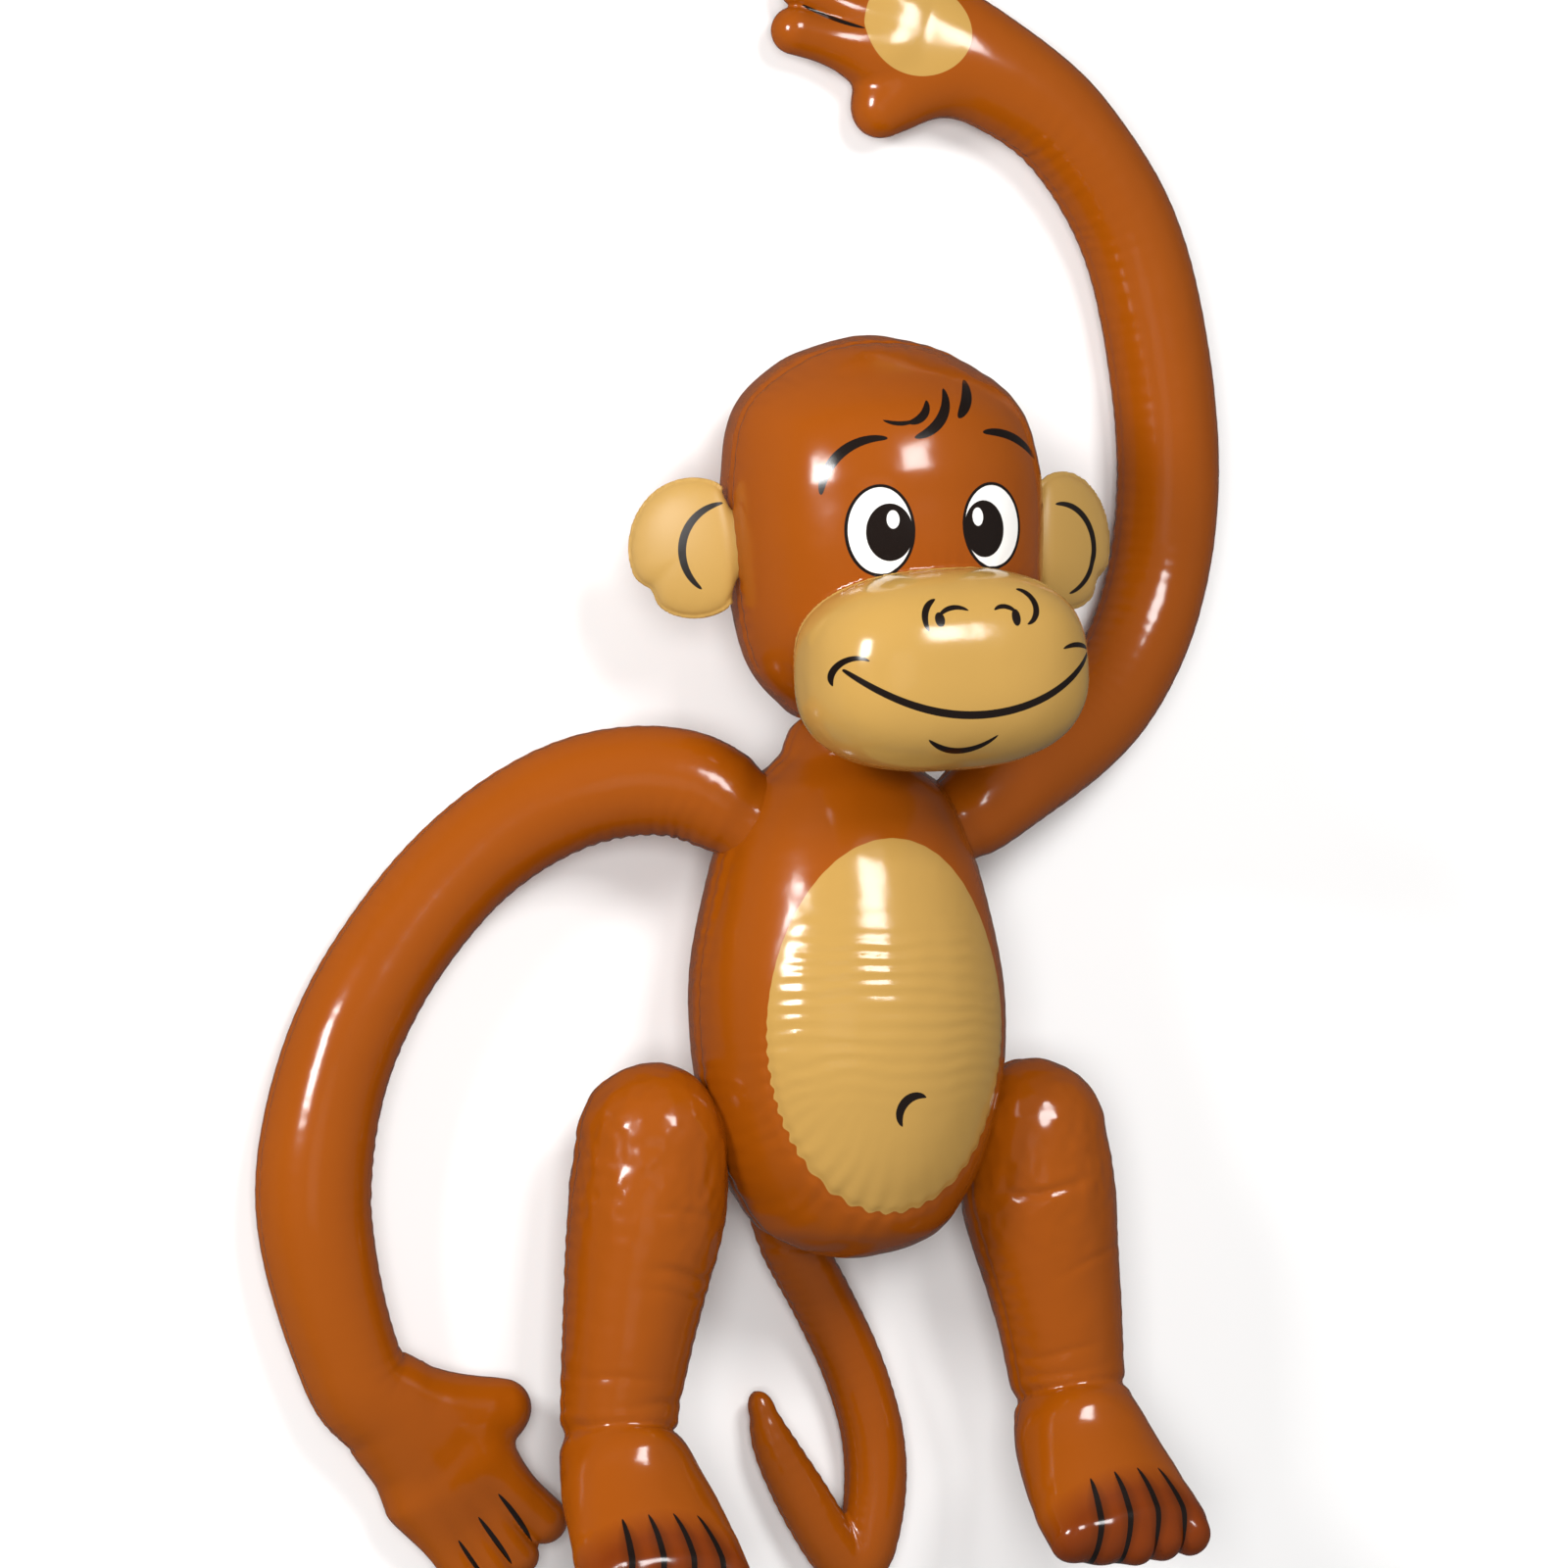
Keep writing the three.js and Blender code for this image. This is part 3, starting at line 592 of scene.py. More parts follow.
def oval(tree, spot, centre, size):
    """How far a spot is inside an oval, in about millimetres."""
    offset = add(tree, "VectorMath", {0: spot, 1: (*centre, 0)}, operation="SUBTRACT")
    shares = add(tree, "VectorMath", {0: offset, 1: (*size, 1)}, operation="DIVIDE")
    far = add(tree, "VectorMath", {0: shares}, "Value", operation="LENGTH")
    return add(tree, "Math", {0: far, 1: -min(size), 2: min(size)}, operation="MULTIPLY_ADD")


def stroke(tree, spot, start, middle, end, width, blunt=0.5, soft=0.14):
    """How far a spot is inside a brush stroke that swells and tapers along an arc through three points."""
    (ax, ay), (bx, by), (cx, cy) = start, middle, end
    det = 2 * (ax * (by - cy) + bx * (cy - ay) + cx * (ay - by))
    squares = [x * x + y * y for x, y in (start, middle, end)]
    ox = (squares[0] * (by - cy) + squares[1] * (cy - ay) + squares[2] * (ay - by)) / det
    oy = (squares[0] * (cx - bx) + squares[1] * (ax - cx) + squares[2] * (bx - ax)) / det
    radius = math.hypot(ax - ox, ay - oy)
    towards = Vector((ax + cx - 2 * ox, ay + cy - 2 * oy))
    if towards.dot(Vector((bx - ox, by - oy))) < 0:
        towards = -towards
    towards.normalize()
    limit = ((ax - ox) * towards.x + (ay - oy) * towards.y) / radius
    offset = add(tree, "VectorMath", {0: spot, 1: (ox, oy, 0)}, operation="SUBTRACT")
    far = add(tree, "VectorMath", {0: offset}, "Value", operation="LENGTH")
    ahead = add(tree, "VectorMath", {0: offset, 1: (*towards, 0)}, "Value", operation="DOT_PRODUCT")
    turned = add(tree, "Math", {0: ahead, 1: far}, operation="DIVIDE")
    share = add(tree, "MapRange", {"Value": turned, "From Min": limit})
    swell = add(tree, "Math", {0: share, 1: blunt}, operation="POWER")
    half = add(tree, "Math", {0: swell, 1: width / 2 + soft, 2: -soft}, operation="MULTIPLY_ADD")
    apart = add(tree, "Math", {0: far, 1: radius}, operation="SUBTRACT")
    aside = add(tree, "Math", {0: apart}, operation="ABSOLUTE")
    return add(tree, "Math", {0: half, 1: aside}, operation="SUBTRACT")


def inked(tree, colour, ink, shapes, within=None, soft=0.14):
    """Shapes printed over a colour in one ink that fades out over soft millimetres, and kept where within,
    if it is given, is above zero."""
    shape = shapes[0]
    for other in shapes[1:]:
        shape = add(tree, "Math", {0: shape, 1: other}, operation="MAXIMUM")
    if within is not None:
        shape = add(tree, "Math", {0: shape, 1: within}, operation="MINIMUM")
    share = add(tree, "Math", {0: shape, 1: 1 / soft, 2: 0.5}, operation="MULTIPLY_ADD", use_clamp=True)
    return add(tree, "Mix", {"Factor": share, "A": colour, "B": ink}, "Result", data_type="RGBA")


def printing_frame(tree):
    """A spot's place on the flat of its piece's printing frame, and its height above that."""
    spot = add(tree, "Attribute", output="Vector", attribute_name="spot")
    flat = add(tree, "VectorMath", {0: spot, 1: (1, 1, 0)}, operation="MULTIPLY")
    height = add(tree, "VectorMath", {0: spot, 1: (0, 0, 1)}, "Value", operation="DOT_PRODUCT")
    return flat, height


BROWN = rgb("#974a04")
BROWN_DEEP = rgb("#7f3903")
# painted shade laid in soft bands between the toes
BETWEEN_TOES_PAINTED_SHADE = rgb("#4a1e02")
# painted shade laid over the toe end of each foot
TOE_PAINTED_SHADE = rgb("#742f02")
TAN = rgb("#b38c48")
INK = rgb("#140a05")
EYE_WHITE = rgb("#f4f2ee")
EYE_RIM = 1.1  # width of the dark line round each eye
GLINT_SIZE = (2.1, 3.1)
PVC_IOR = 1.53
CRUMPLE_MM = 9  # between the fine creases of the film
SWELL_MM = 26  # between its slow swells
SHADE_MM = 70  # between paler and deeper patches of its colour
CREASE_SHARE = 0.35  # of the fine creases, beside the swells
DEEP_SHARE = 0.45  # of the deeper brown, at most
CRUMPLE_METRES = 0.0007  # height of the crumple


def film(node, printed=None, roughness=0.16, crumple=0.35):
    """Glossy PVC film: smooth enough to mirror the lamps, with a slight crumple that breaks their edges.
    printed gives the film's colour, and without it the film is plain brown."""
    material = bpy.data.materials.new("PVC film, " + node.replace("_", " "))
    material.use_nodes = True
    tree = material.node_tree
    tree.nodes.clear()
    place = add(tree, "TexCoord", output="Object")
    crease = add(tree, "TexNoise", {"Vector": place, "Scale": 1000 / CRUMPLE_MM, "Detail": 2.0})
    swell = add(tree, "TexNoise", {"Vector": place, "Scale": 1000 / SWELL_MM, "Detail": 1.0})
    height = add(tree, "Math", {0: crease, 1: CREASE_SHARE, 2: swell}, operation="MULTIPLY_ADD")
    bump = add(tree, "Bump", {"Strength": crumple, "Distance": CRUMPLE_METRES, "Height": height})
    patch = add(tree, "TexNoise", {"Vector": place, "Scale": 1000 / SHADE_MM, "Detail": 3.0})
    deep = add(tree, "Math", {0: patch, 1: DEEP_SHARE}, operation="MULTIPLY")
    brown = add(tree, "Mix", {"Factor": deep, "A": BROWN, "B": BROWN_DEEP}, "Result", data_type="RGBA")
    colour = printed(tree, brown) if printed else brown
    looks = {"Base Color": colour, "Roughness": roughness, "IOR": PVC_IOR, "Normal": bump}
    surface = add(tree, "BsdfPrincipled", looks)
    add(tree, "OutputMaterial", {"Surface": surface})
    return material


def plain_material(name, looks):
    """A material that is the same all over."""
    material = bpy.data.materials.new(name)
    material.use_nodes = True
    surface = material.node_tree.nodes["Principled BSDF"]
    for key, value in looks.items():
        surface.inputs[key].default_value = value
    return material


def soft_clear_vinyl():
    """Soft milky PVC of a pressed valve: lets some light in, with a dull wax-like gloss."""
    return plain_material("Soft clear PVC", {
        "Base Color": rgb("#d8d8d2"), "Roughness": 0.3, "IOR": PVC_IOR, "Subsurface Weight": 0.5,
        "Subsurface Radius": (1, 1, 1), "Subsurface Scale": 0.002,
    })


def white_paper():
    """Matt white paper, with hardly any sheen."""
    looks = {"Base Color": rgb("#f6f5f4"), "Roughness": 0.9, "Specular IOR Level": 0.1}
    return plain_material("White paper", looks)


def face_print(tree, brown):
    """Tan muzzle panel, eyes, eyebrows, tuft, nose, smile and chin, in the face's own frame."""
    spot, height = printing_frame(tree)
    front = add(tree, "Math", {0: height, 1: 8.0}, operation="SUBTRACT")
    panel = add(tree, "Attribute", output="Fac", attribute_name="panel")
    colour = inked(tree, brown, TAN, [panel])
    skull = add(tree, "Math", {0: panel, 1: -1.0}, operation="MULTIPLY")
    above = add(tree, "Math", {0: front, 1: skull}, operation="MINIMUM")
    # [white, half size, iris, half size, glint] of each eye
    eyes = [
        [(-18.4, 70.3), (10.4, 14.6), (-15.4, 69.6), (7.8, 9.8), (-14.3, 73.9)],
        [(22.4, 71.2), (11, 13.8), (18.9, 70.2), (8, 9.7), (16.4, 74.3)],
    ]
    for white, white_size, iris, iris_size, glint in eyes:
        rim = [size + EYE_RIM for size in white_size]
        ovals = [(INK, white, rim), (EYE_WHITE, white, white_size)]
        ovals += [(INK, iris, iris_size), (EYE_WHITE, glint, GLINT_SIZE)]
        for ink, middle, half_size in ovals:
            colour = inked(tree, colour, ink, [oval(tree, spot, middle, half_size)], above)
    # [start, middle, end, width, how blunt its ends are] of each stroke
    brow_and_tuft_lines = [
        ((-36.4, 83), (-29.7, 97), (-14.4, 101.6), 3.2, 0.35),
        ((21, 103.2), (33.5, 101.9), (45.4, 94.4), 3.2, 0.35),
        ((9.8, 118.6), (5.2, 107.6), (-5.2, 101.6), 3.6, 0.45),
        ((20.4, 122), (17.6, 115), (12, 108.2), 4.0, 0.45),
        ((1.8, 114.4), (-0.6, 109.4), (-6.8, 106.8), 2.8, 0.45),
        ((-15, 108), (-9.4, 106.6), (-3.6, 107.8), 1.6, 0.45),
    ]
    nose_and_mouth_lines = [
        ((-8.2, 46.2), (-13, 40.8), (-12.3, 35.2), 2.2, 0.45),
        ((21.6, 49), (27.2, 43.6), (22.8, 37), 2.4, 0.45),
        ((-8.6, 40), (-4.6, 42.8), (2.4, 42), 1.7, 0.45),
        ((11.4, 42), (15.8, 43.2), (19.6, 40.6), 1.7, 0.45),
        ((-39.4, 23.4), (2, 6.9), (49.5, 27.2), 2.7, 0.22),
        ((-41.6, 17.8), (-39, 26), (-31.8, 25.8), 2.0, 0.45),
        ((36.4, 28.4), (43.6, 29.7), (50.4, 28), 1.8, 0.45),
        ((-12, -0.9), (0.6, -4.9), (12.4, 0), 2.0, 0.4),
    ]
    nostrils = [oval(tree, spot, (-8.2, 39.2), (1.7, 2.5)), oval(tree, spot, (19, 39.4), (1.6, 2.9))]
    brows = [stroke(tree, spot, *line) for line in brow_and_tuft_lines]
    mouth = [stroke(tree, spot, *line) for line in nose_and_mouth_lines]
    colour = inked(tree, colour, INK, brows, above)
    return inked(tree, colour, INK, mouth + nostrils, panel)


def belly_print(tree, brown):
    """Tan belly panel and the navel, in the torso's frame."""
    spot, height = printing_frame(tree)
    panel = add(tree, "Attribute", output="Fac", attribute_name="panel")
    colour = inked(tree, brown, TAN, [panel])
    navel = stroke(tree, spot, (0.4, -35.4), (2.4, -25.6), (8.4, -25.6), 3.3, 0.55)
    return inked(tree, colour, INK, [navel], height)


def ear_print(side, arc):
    """The curved line on the front of an ear."""
    def printed(tree, brown):
        spot, height = printing_frame(tree)
        front = add(tree, "Math", {0: height, 1: side}, operation="MULTIPLY")
        return inked(tree, TAN, INK, [stroke(tree, spot, *arc, 2.9, 0.35)], front)
    return printed


def hand_print(palm_up):
    """Lines between the fingers, on both sides, and the pale palm on one."""
    def printed(tree, brown):
        spot, height = printing_frame(tree)
        side = add(tree, "Math", {0: height, 1: 1.0 if palm_up else -1.0}, operation="MULTIPLY")
        colour = inked(tree, brown, TAN, [oval(tree, spot, *PALM_PATCH)], side)
        gaps = []
        for k in range(3):
            knuckle, middle = (22 + 2 * k, 5.6 - 10.2 * k), (34, 6.6 - 10.8 * k)
            tip = (46 - abs(k - 1), 6.2 - 10.8 * k)
            gaps.append(stroke(tree, spot, knuckle, middle, tip, 1.7, 0.4))
        return inked(tree, colour, INK, gaps)
    return printed


def foot_print(tree, brown):
    """Painted shade over the toes and in soft bands between them, and the dark printed lines between them,
    in the foot's frame.
    """
    spot, _ = printing_frame(tree)
    # painted shade: the toe end darkened as if it lay in shade
    colour = inked(tree, brown, TOE_PAINTED_SHADE, [oval(tree, spot, (6, 0), (17, 38))], soft=10)
    painted_shades, gaps = [], []
    for k in range(TOES - 1):
        place = (k - (TOES - 2) / 2) * TOE_SPREAD
        bow = (-14, place * 0.8 - 1.5), (0, place * 0.96 + 1.4), (14, place - 0.8)
        painted_shades.append(stroke(tree, spot, *bow, 4, 0.4, soft=5))
        gaps.append(stroke(tree, spot, *bow, 2.2, 0.4))
    # painted shade: soft dark bands between the toes, beside the printed lines
    colour = inked(tree, colour, BETWEEN_TOES_PAINTED_SHADE, painted_shades, soft=5)
    return inked(tree, colour, INK, gaps)


# The pieces

torso_matrix = frame_of((0, -TORSO_BELOW_ORIGIN, TORSO_MIDDLE))
torso_plain = body_field(TORSO_ROWS, TORSO_LENGTH, TORSO_WIDTH, TORSO_DEPTH / 2, TORSO_DEPTH / 2)
torso_field = in_frame(torso_plain, torso_matrix)

head_matrix = frame_of(HEAD_PLACE, HEAD_ROLL, -HEAD_TURN)
skull_front, skull_back = HEAD_DEPTH * (1 - SKULL_BACK), HEAD_DEPTH * SKULL_BACK
skull_plain = body_field(HEAD_ROWS, HEAD_HEIGHT, HEAD_WIDTH, skull_front, skull_back)
muzzle_back = frame_of(MUZZLE_PLACE, MUZZLE_ROLL).inverted()


def muzzle_plain(p):
    q = np.abs(moved(muzzle_back, p) / (np.array(MUZZLE_SIZE) / 2))
    size = (q**MUZZLE_SQUARENESS).sum(1) ** (1 / MUZZLE_SQUARENESS)
    return (size - 1) * min(MUZZLE_SIZE) / 2


head_plain = blended(skull_plain, muzzle_plain, 2.5)
head_field = in_frame(head_plain, head_matrix)


def make_torso():
    """Side welds, the belly panel with its gathered rim, and the ripples in its film."""
    field = above_floor(torso_field)
    vertices, normals, quads = film_of(field, *TORSO_BOX)
    spots = vertices - (0, 0, TORSO_MIDDLE)
    x, y, z = spots.T
    aside, up = x - BELLY_MIDDLE[0], y - BELLY_MIDDLE[1]
    angle = np.arctan2(up, aside)
    front = np.clip(z / 6, 0, 1)
    gathered = np.clip(-np.sin(angle) * 1.6 + 0.35, 0.1, 1)  # the weld puckers most round the lower half
    scallop = 0.45 * np.cos(angle * BELLY_SCALLOPS + 3 * lattice_noise(spots, 14, 8)) * gathered
    reach = np.sqrt((aside / BELLY_HALF[0]) ** 2 + (up / BELLY_HALF[1]) ** 2)
    panel = np.where(z > 0, (1 - reach) * BELLY_RADIUS + scallop, -20.0)
    side = seam(z, y, spots, depth=0.8, pucker=0.4, seed=3)
    rim = seam(panel, angle * 52, spots, depth=0.55, pucker=0.3, spacing=6.6, reach=6, seed=7)
    rows = np.cos(2 * np.pi * (y + 2.6 * lattice_noise(spots, 15, 4)) / RIPPLE_SPACING)
    patchy = 0.17 + 0.12 * lattice_noise(spots * (1, 2.2, 1), 24, 9)
    ripples = patchy * rows * front * np.clip(panel / 6, 0, 1) * np.exp(-(((y - 8) / 30) ** 4))
    sag = -BELLY_SAG * front * np.sin(np.clip((y - 4) / 52, -1, 1) * np.pi / 2)
    relief = side + front * gathered * rim + ripples + sag + slackness(spots, 11)
    made = mesh_object("Torso_film", raised(vertices, normals, relief), quads, spot=spots, panel=panel)
    finished(made, "torso", film("torso", belly_print))


def make_head():
    """The head with its muzzle: a weld round the muzzle and one over the crown."""
    field = above_floor(head_field)
    vertices, normals, quads = film_of(field, *HEAD_BOX)
    places = moved(head_matrix.inverted(), vertices)
    x, y, z = places.T
    panel = skull_plain(places) - muzzle_plain(places)
    around = np.arctan2(y - MUZZLE_PLACE[1], x - MUZZLE_PLACE[0]) * MUZZLE_RADIUS
    rim = seam(panel, around, places, depth=0.7, pucker=0.12, spacing=5.4, reach=6, seed=21)
    crown = np.arctan2(y - CROWN_RADIUS, x) * CROWN_RADIUS
    side = seam(z, crown, places, depth=0.7, pucker=0.25, seed=23) * np.clip((y - 22) / 10, 0, 1)
    relief = np.clip((z - 12) / 10, 0, 1) * rim + side + slackness(places, 31, large=0.45)
    spots = moved(frame_of(HEAD_PLACE, FACE_ROLL, -HEAD_TURN).inverted(), vertices)
    made = mesh_object("Head_film", raised(vertices, normals, relief), quads, spot=spots, panel=panel)
    finished(made, "head", film("head", face_print))


def make_ear(name, node, side, arc):
    """A flat pillow of film with a thin welded flange, and a printed line through three points."""
    sweep = math.radians(EAR_SWEEP)
    local = Matrix.Translation((side * HEAD_WIDTH / 2, EAR_UP - side * EAR_UNEVEN, 0))
    local = head_matrix @ local @ Matrix.Rotation(sweep if side > 0 else math.pi - sweep, 4, "Y")
    back = local.inverted()
    reach = (EAR_REACH + EAR_SINK) / 2
    middle = (reach - EAR_SINK, 0, 0)

    def pillow(p):
        q = moved(back, p) - middle
        turn = np.arctan2(q[:, 1], q[:, 0])
        edge = reach * EAR_HEIGHT / 2 / np.hypot(EAR_HEIGHT / 2 * np.cos(turn), reach * np.sin(turn))
        rim = edge - EAR_NOTCH * np.exp(-((turn - NOTCH_TURN) / NOTCH_WIDTH) ** 2)
        far = np.hypot(q[:, 0], q[:, 1]) / rim
        inside = (np.sqrt(far**2 + (2 * q[:, 2] / EAR_THICKNESS) ** 2) - 1) * EAR_THICKNESS / 2
        flange = np.maximum((far - EAR_FLANGE) * reach, np.abs(q[:, 2]) - FLANGE_HALF)
        return np.minimum(inside, flange)

    field = carried_by(pillow, head_field, sink=2.5, pinch=1.0, reach=3)
    corners = moved(local, np.stack(np.meshgrid(*EAR_BOX), -1).reshape(-1, 3))
    vertices, quads = skin_of(field, corners.min(0), corners.max(0), FINE_EAR)
    vertices, normals = on_skin(field, vertices, 3)
    spots = moved(back, vertices)
    x, y, _ = (spots - middle).T
    inner = 1 - np.hypot(x, y) / reach
    pucker = 0.12 * np.cos(np.arctan2(y, x) * EAR_PUCKERS + 2 * lattice_noise(spots, 12, 5))
    relief = pucker * np.exp(-inner * 12) * np.clip(inner * 12, 0, 1) + 0.05 * lattice_noise(spots, 14, 6)
    made = mesh_object(name, vertices + normals * relief[:, None], quads, spot=spots)
    finished(made, node, film(node, ear_print(side, arc), roughness=0.45, crumple=0.15))


def make_arm(name, node, rows, length, side, hand_turn, palm_up, seed):
    """A long tube with a mitten of joined fingers, welds along both sides and folds inside its bends."""
    route = []
    for x, y, lift, half, thick in rows:
        rest = thick * ARM_RADIUS - LIMB_PRESS
        height = rest + lift * (TORSO_MIDDLE - rest)
        place = [side * (SHOULDER[0] + x * length), SHOULDER[1] + y * length, height]
        route.append([*place, half * ARM_RADIUS, thick * ARM_RADIUS])
    tube = Tube(route, UP, ARM_ROOT_CAP * ARM_RADIUS, PALM_CAP * ARM_RADIUS)
    palm = np.array(route[-1][:3])
    turn = math.radians(hand_turn)
    along = np.array([math.cos(turn), math.sin(turn), 0])
    to_thumb = np.array([-along[1], along[0], 0])

    def digit(f0, g0, f1, g1, radius):
        places = [palm + HAND_LENGTH * (f * along + g * to_thumb) for f, g in ((f0, g0), (f1, g1))]
        return Tube([[*place, radius, radius] for place in places], UP, radius, radius, 12).field

    fingers = [digit(*finger[:4], FINGER_RADIUS * finger[4]) for finger in FINGERS]
    hand = fingers[0]
    for finger in fingers[1:]:
        hand = blended(hand, finger, WEB)
    hand = near_only(blended(hand, digit(*THUMB, THUMB_RADIUS), THUMB_ROOT), palm, 80)
    limb = blended(tube.field, hand, WRIST)
    field = above_floor(carried_by(limb, torso_field))
    centre = tube.centre
    low = np.minimum(centre.min(0), palm - HAND_ROOM) - ARM_ROOM
    high = np.maximum(centre.max(0), palm + HAND_ROOM) + ARM_ROOM
    low[2], high[2] = ARM_HEIGHTS
    vertices, normals, quads = film_of(field, low, high)
    a, b, _, near = tube.place(vertices)
    run = at(near, tube.length)
    tight = np.clip(at(near, tube.bend) * np.sign(a) * 60, 0, 1.3)
    hooked = np.clip((len(centre) - 14 - near) / 8, 0, 1)
    relief = seam(b, run, vertices, depth=0.5, pucker=0.12, seed=seed) * (0.5 + 0.5 * hooked)
    folds = np.cos(2 * np.pi * (run + 2.5 * lattice_noise(vertices, 12, seed + 2)) / FOLD_SPACING)
    relief += 0.3 * folds * tight * np.exp(-((b / 13) ** 2)) * hooked
    relief += slackness(vertices, seed + 4, large=0.25, small=0.05)
    offset = vertices - palm
    spots = np.stack([offset @ along, offset @ to_thumb, offset[:, 2]], 1)
    made = mesh_object(name, raised(vertices, normals, relief), quads, spot=spots)
    finished(made, node, film(node, hand_print(palm_up)))


def make_leg(name, node, side, longer, foot_inward, creases, seed):
    """A sausage with a pebbly knee, short creases, a pinched ankle and a foot with toes."""
    hip = np.array([side * HIP[0], HIP[1], HIP[2]])
    route = []
    for x, y, z, half, thick in LEG_ROWS:
        outward = x * LEG_LENGTH - foot_inward * max(0, (-y - HEEL) / (1 - HEEL))
        down = y * LEG_LENGTH - longer * min(1, -y / ANKLE)
        place = hip + (side * outward, down, z * LEG_LENGTH)
        route.append([*place, half * LEG_RADIUS, thick * LEG_RADIUS])
    level = np.array([0, 1.0, 1.0])
    tube = Tube(route, level, LEG_RADIUS, FOOT_CAP * LEG_RADIUS)
    end, before = np.array(route[-1][:3]), np.array(route[-2][:3])
    along = (end - before) / np.linalg.norm(end - before)
    toes = None
    for i in range(TOES):
        aside = (i - (TOES - 1) / 2) * TOE_SPREAD
        start = end - (TOE_BACK + abs(aside) * 0.16) * along + (aside * 0.92, 0, 0)
        tip = start + TOE_LENGTH * along + (aside * 0.08, 0, 0)
        ends = [[*p, TOE_RADIUS, TOE_RADIUS * 1.2] for p in (start, tip)]
        toe = Tube(ends, level, TOE_RADIUS, TOE_RADIUS, 12).field
        toes = blended(toes, toe, WEB) if toes else toe
    field = carried_by(blended(tube.field, near_only(toes, end, 60), TOE_ROOT), torso_field)
    low, high = tube.centre.min(0) - LEG_ROOM, tube.centre.max(0) + LEG_ROOM
    low[1] -= TOE_ROOM
    vertices, normals, quads = film_of(field, low, high)
    a, b, _, near = tube.place(vertices)
    run = at(near, tube.length)
    knee = np.exp(-((run - KNEE_BULGE[0]) / KNEE_BULGE[1]) ** 2)
    relief = seam(b, run, vertices, depth=0.6, pucker=0.3, seed=seed) * np.clip((105 - run) / 10, 0, 1)
    pebbles = 0.34 * lattice_noise(vertices, 3.4, seed + 1) + 0.3 * lattice_noise(vertices, 7, seed + 2)
    relief += knee * pebbles
    across = vertices[:, 0] - at(near, tube.centre[:, 0])
    front = np.clip(b / 12 + 0.5, 0, 1)
    ankle = ANKLE * LEG_LENGTH + longer + 2
    pinched = np.exp(-((run + lattice_noise(vertices, 12, seed + 7) - ankle) / 2.6) ** 2)
    relief -= pinched * (0.7 + 1.3 * (across / 20) ** 2)
    past, half_length, half_width, height = INSTEP
    swell = ((run - ankle - past) / half_length) ** 2 + ((across + side * 2) / half_width) ** 2
    relief += height * front * np.exp(-swell)
    for place, middle, deep, narrow in creases:
        wander = run + 2.2 * lattice_noise(vertices, 15, seed + int(place)) + 0.1 * across
        span = np.exp(-((across - middle) / 13) ** 2) * front
        relief -= deep * span * np.exp(-((wander - place) / narrow) ** 2)
    relief += slackness(vertices, seed + 4, large=0.4, small=0.12)
    offset = vertices - end
    spots = np.stack([offset @ along, offset[:, 0], b], 1)
    made = mesh_object(name, vertices + normals * relief[:, None], quads, spot=spots)
    finished(made, node, film(node, foot_print))


def make_tail():
    """A thin tube that runs down and, as a second strand, back up against itself."""
    rest = TAIL_RADIUS - LIMB_PRESS
    start_cap, end_cap = (cap * TAIL_RADIUS for cap in TAIL_CAPS)

    def strand(rows):
        route = []
        for x, y, over, share in rows:
            place = np.array([x, y, over]) * TAIL_LENGTH + (0, -TORSO_BELOW_ORIGIN, rest)
            route.append([*place, share * TAIL_RADIUS, share * TAIL_RADIUS])
        return Tube(route, UP, start_cap, end_cap, 60)

    stem, tip = strand(TAIL_ROWS), strand(TAIL_TIP_ROWS)
    field = above_floor(carried_by(blended(stem.field, tip.field, 1.6), torso_field))
    vertices, normals, quads = film_of(field, *TAIL_BOX, FINE * 0.9)
    first = np.abs(stem.field(vertices)) < np.abs(tip.field(vertices))
    throughs, runs = [], []
    for one in (stem, tip):
        _, through, _, near = one.place(vertices)
        throughs.append(through)
        runs.append(at(near, one.length))
    b, run = np.where(first, *throughs), np.where(first, *runs)
    relief = seam(b, run, vertices, depth=0.5, pucker=0.25, spacing=5, reach=5, seed=61)
    relief += slackness(vertices, 65, large=0.2, small=0.06)
    made = mesh_object("Tail_film", raised(vertices, normals, relief, calm=3), quads)
    finished(made, "tail", film("tail"))


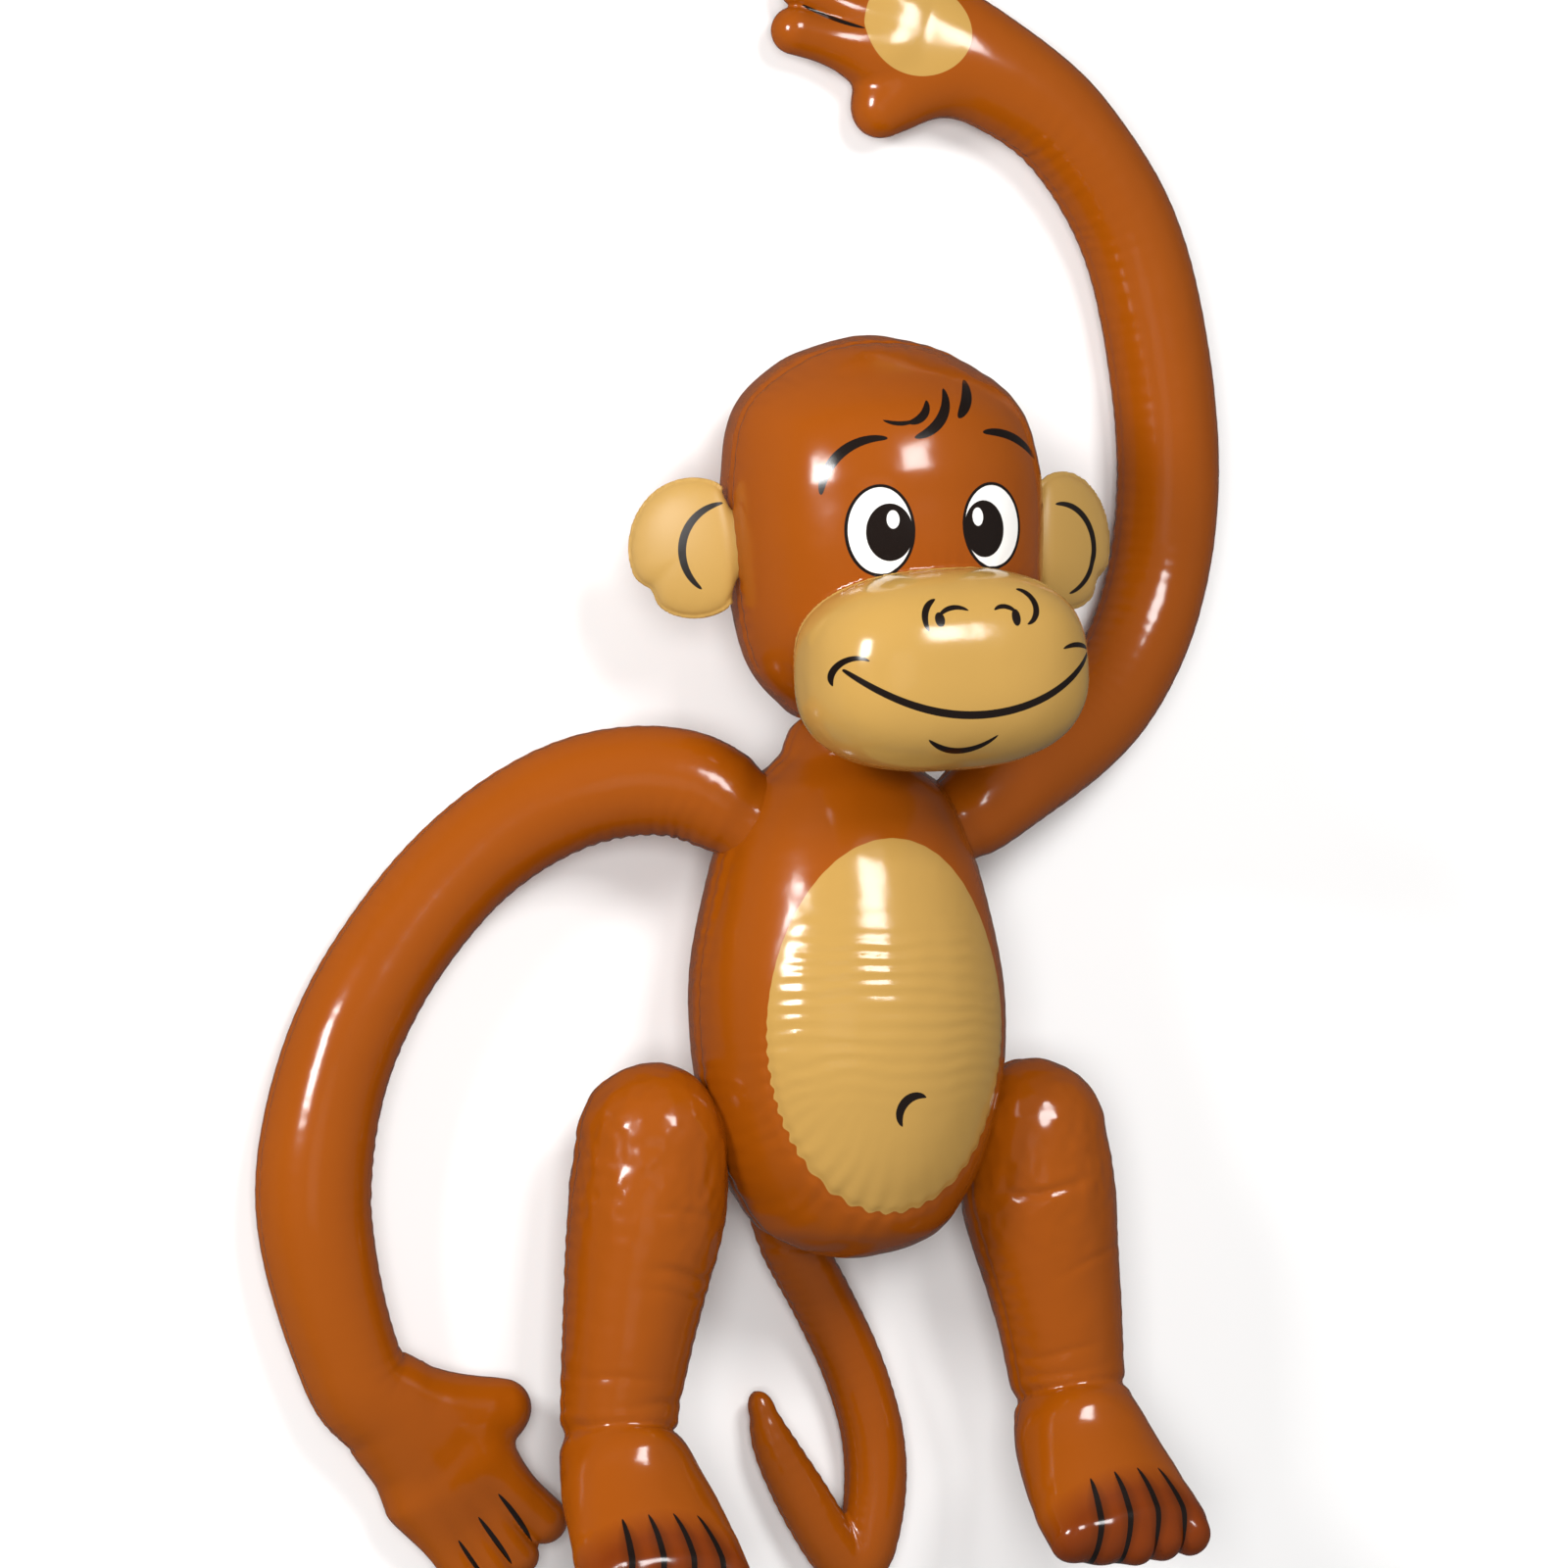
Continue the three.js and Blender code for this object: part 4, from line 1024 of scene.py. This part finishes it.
def make_valve():
    """The soft valve on the back, closed and pushed in, set round from straight back towards the left side.
    """
    foot = VALVE_STAND - VALVE_CAP_THICKNESS
    pinhole, hidden = 0.3, -1.6
    dimple, dimple_floor = 2.4, 1.8
    profile = [
        (pinhole, hidden), (VALVE_FLANGE_RADIUS, hidden), (VALVE_FLANGE_RADIUS, VALVE_RIM * 0.6),
        (VALVE_FLANGE_RADIUS - 0.5, VALVE_RIM), (VALVE_STEM_RADIUS + 0.5, VALVE_RIM),
        (VALVE_STEM_RADIUS, VALVE_RIM + 0.4), (VALVE_STEM_RADIUS, foot - 0.2),
        (VALVE_CAP_RADIUS - 0.3, foot), (VALVE_CAP_RADIUS, foot + 0.4),
        (VALVE_CAP_RADIUS, VALVE_STAND - 0.5), (VALVE_CAP_RADIUS - 0.5, VALVE_STAND),
        (dimple, VALVE_STAND), (dimple_floor, VALVE_STAND - 0.5), (pinhole, VALVE_STAND - 0.6),
    ]
    sides = 64
    turn = np.linspace(0, 2 * np.pi, sides, endpoint=False)
    rings = [np.stack([r * np.cos(turn), r * np.sin(turn), np.full(sides, h)], 1) for r, h in profile]
    vertices = np.concatenate(rings)
    here = np.arange(sides)
    beside = (here + 1) % sides
    quads = np.concatenate([
        np.stack([here, beside, beside + sides, here + sides], 1) + k * sides
        for k in range(len(profile) - 1)
    ])
    angle = math.radians(VALVE_TURN)
    aside, backward = math.sin(angle), -math.cos(angle)
    outward = Vector((aside / TORSO_WIDTH, 0, backward / TORSO_DEPTH)).normalized()
    height = TORSO_MIDDLE + backward * TORSO_DEPTH / 2
    place = (aside * TORSO_WIDTH / 2, VALVE_UP - TORSO_BELOW_ORIGIN, height)
    matrix = Matrix.Translation(place) @ outward.to_track_quat("Z", "Y").to_matrix().to_4x4()
    made = mesh_object("Valve", moved(matrix, vertices), quads)
    finished(made, "valve", soft_clear_vinyl())


# Floor, light and camera, in metres and watts

FLOOR_SIDE = 6
CEILING_LIGHT = 0.2
WALL_LIGHT = 0.1
VIEW_TURN = math.radians(22)  # how far the camera stands to the monkey's right of straight above
VIEW_RIGHT = Vector((math.cos(VIEW_TURN), 0, math.sin(VIEW_TURN)))
VIEW_UP = Vector((0, 1, 0))
VIEW_BACK = Vector((-math.sin(VIEW_TURN), 0, math.cos(VIEW_TURN)))
VIEW_TARGET = Vector((-24.2, 81.6, 52.0)) * MM
VIEW_DISTANCE = 2.6
SENSOR_MM = 36
LENS_MM = 172.06  # gives the photograph's frame from that distance


def make_stage():
    """A plain pale floor and a dim pale surround."""
    bpy.ops.mesh.primitive_plane_add(size=FLOOR_SIDE, location=(0, 0, 0))
    floor = bpy.context.object
    floor.name = "Floor"
    floor.data.materials.append(white_paper())
    floor.visible_glossy = False
    floor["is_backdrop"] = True
    world = bpy.data.worlds.new("Pale surround")
    world.use_nodes = True
    tree = world.node_tree
    background = tree.nodes["Background"]
    background.inputs[0].default_value = rgb("#fbfbfd")
    towards = add(tree, "TexCoord", output="Generated")
    height = add(tree, "VectorMath", {0: towards, 1: (0, 0, 1)}, "Value", operation="DOT_PRODUCT")
    bright = add(tree, "MapRange", {0: height, 1: 0.05, 2: 0.6, 3: WALL_LIGHT, 4: CEILING_LIGHT})
    tree.links.new(bright, background.inputs[1])
    bpy.context.scene.world = world
    bpy.context.scene.view_settings.view_transform = "Standard"


def facing(location, back, up):
    """The matrix of something that stands at location and looks along -back."""
    right = up.cross(back).normalized()
    rows = Matrix((right, back.cross(right).normalized(), back.normalized())).transposed()
    return Matrix.Translation(location) @ rows.to_4x4()


def make_lamp(name, right, up, near, width, height, power, distance=1.7, mirrored=True):
    """A soft lamp that lies right, up and near of the toy by those shares, as the camera sees it. The film
    mirrors it unless mirrored is False."""
    towards = (VIEW_RIGHT * right + VIEW_UP * up + VIEW_BACK * near).normalized()
    data = bpy.data.lights.new(name, "AREA")
    data.shape = "RECTANGLE"
    data.size, data.size_y = width, height
    data.energy = power
    lamp = bpy.data.objects.new(name, data)
    lamp.matrix_world = facing(VIEW_TARGET + towards * distance, towards, VIEW_UP)
    lamp.visible_camera = False
    lamp.visible_glossy = mirrored
    bpy.context.scene.collection.objects.link(lamp)


def make_camera():
    """The camera looks down on the toy from where the photograph was taken."""
    data = bpy.data.cameras.new("Camera")
    data.sensor_width = SENSOR_MM
    data.lens = LENS_MM
    data.dof.use_dof = False
    camera = bpy.data.objects.new("Camera", data)
    camera.matrix_world = facing(VIEW_TARGET + VIEW_BACK * VIEW_DISTANCE, VIEW_BACK, VIEW_UP)
    bpy.context.scene.collection.objects.link(camera)
    bpy.context.scene.camera = camera


make_torso()
make_head()
make_ear("Right_ear_film", "right_ear", -1, RIGHT_EAR_LINE)
make_ear("Left_ear_film", "left_ear", 1, LEFT_EAR_LINE)
make_arm("Left_arm_film", "left_arm", RAISED_ARM, RAISED_ARM_LENGTH, 1, RAISED_HAND_TURN, True, 41)
make_arm("Right_arm_film", "right_arm", LOWERED_ARM, LOWERED_ARM_LENGTH, -1, LOWERED_HAND_TURN, False, 51)
make_leg("Left_leg_film", "left_leg", 1, 0, 0, LEFT_CREASES, 71)
make_leg("Right_leg_film", "right_leg", -1, RIGHT_LEG_LONGER, RIGHT_FOOT_INWARD, RIGHT_CREASES, 81)
make_tail()
make_valve()
make_stage()
make_lamp("Left softbox", -0.56, 0.3, 0.77, 0.36, 0.45, 17)
make_lamp("Right softbox", 0.42, 0.47, 0.78, 0.52, 0.5, 15)
make_lamp("Fill", 0, 0, 1, 1.2, 1.2, 62, distance=3.2, mirrored=False)
make_camera()

boxes = {"cad": cad_box, "made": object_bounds()}
{key: [[float(v) for v in corner] for corner in box] for key, box in boxes.items()}
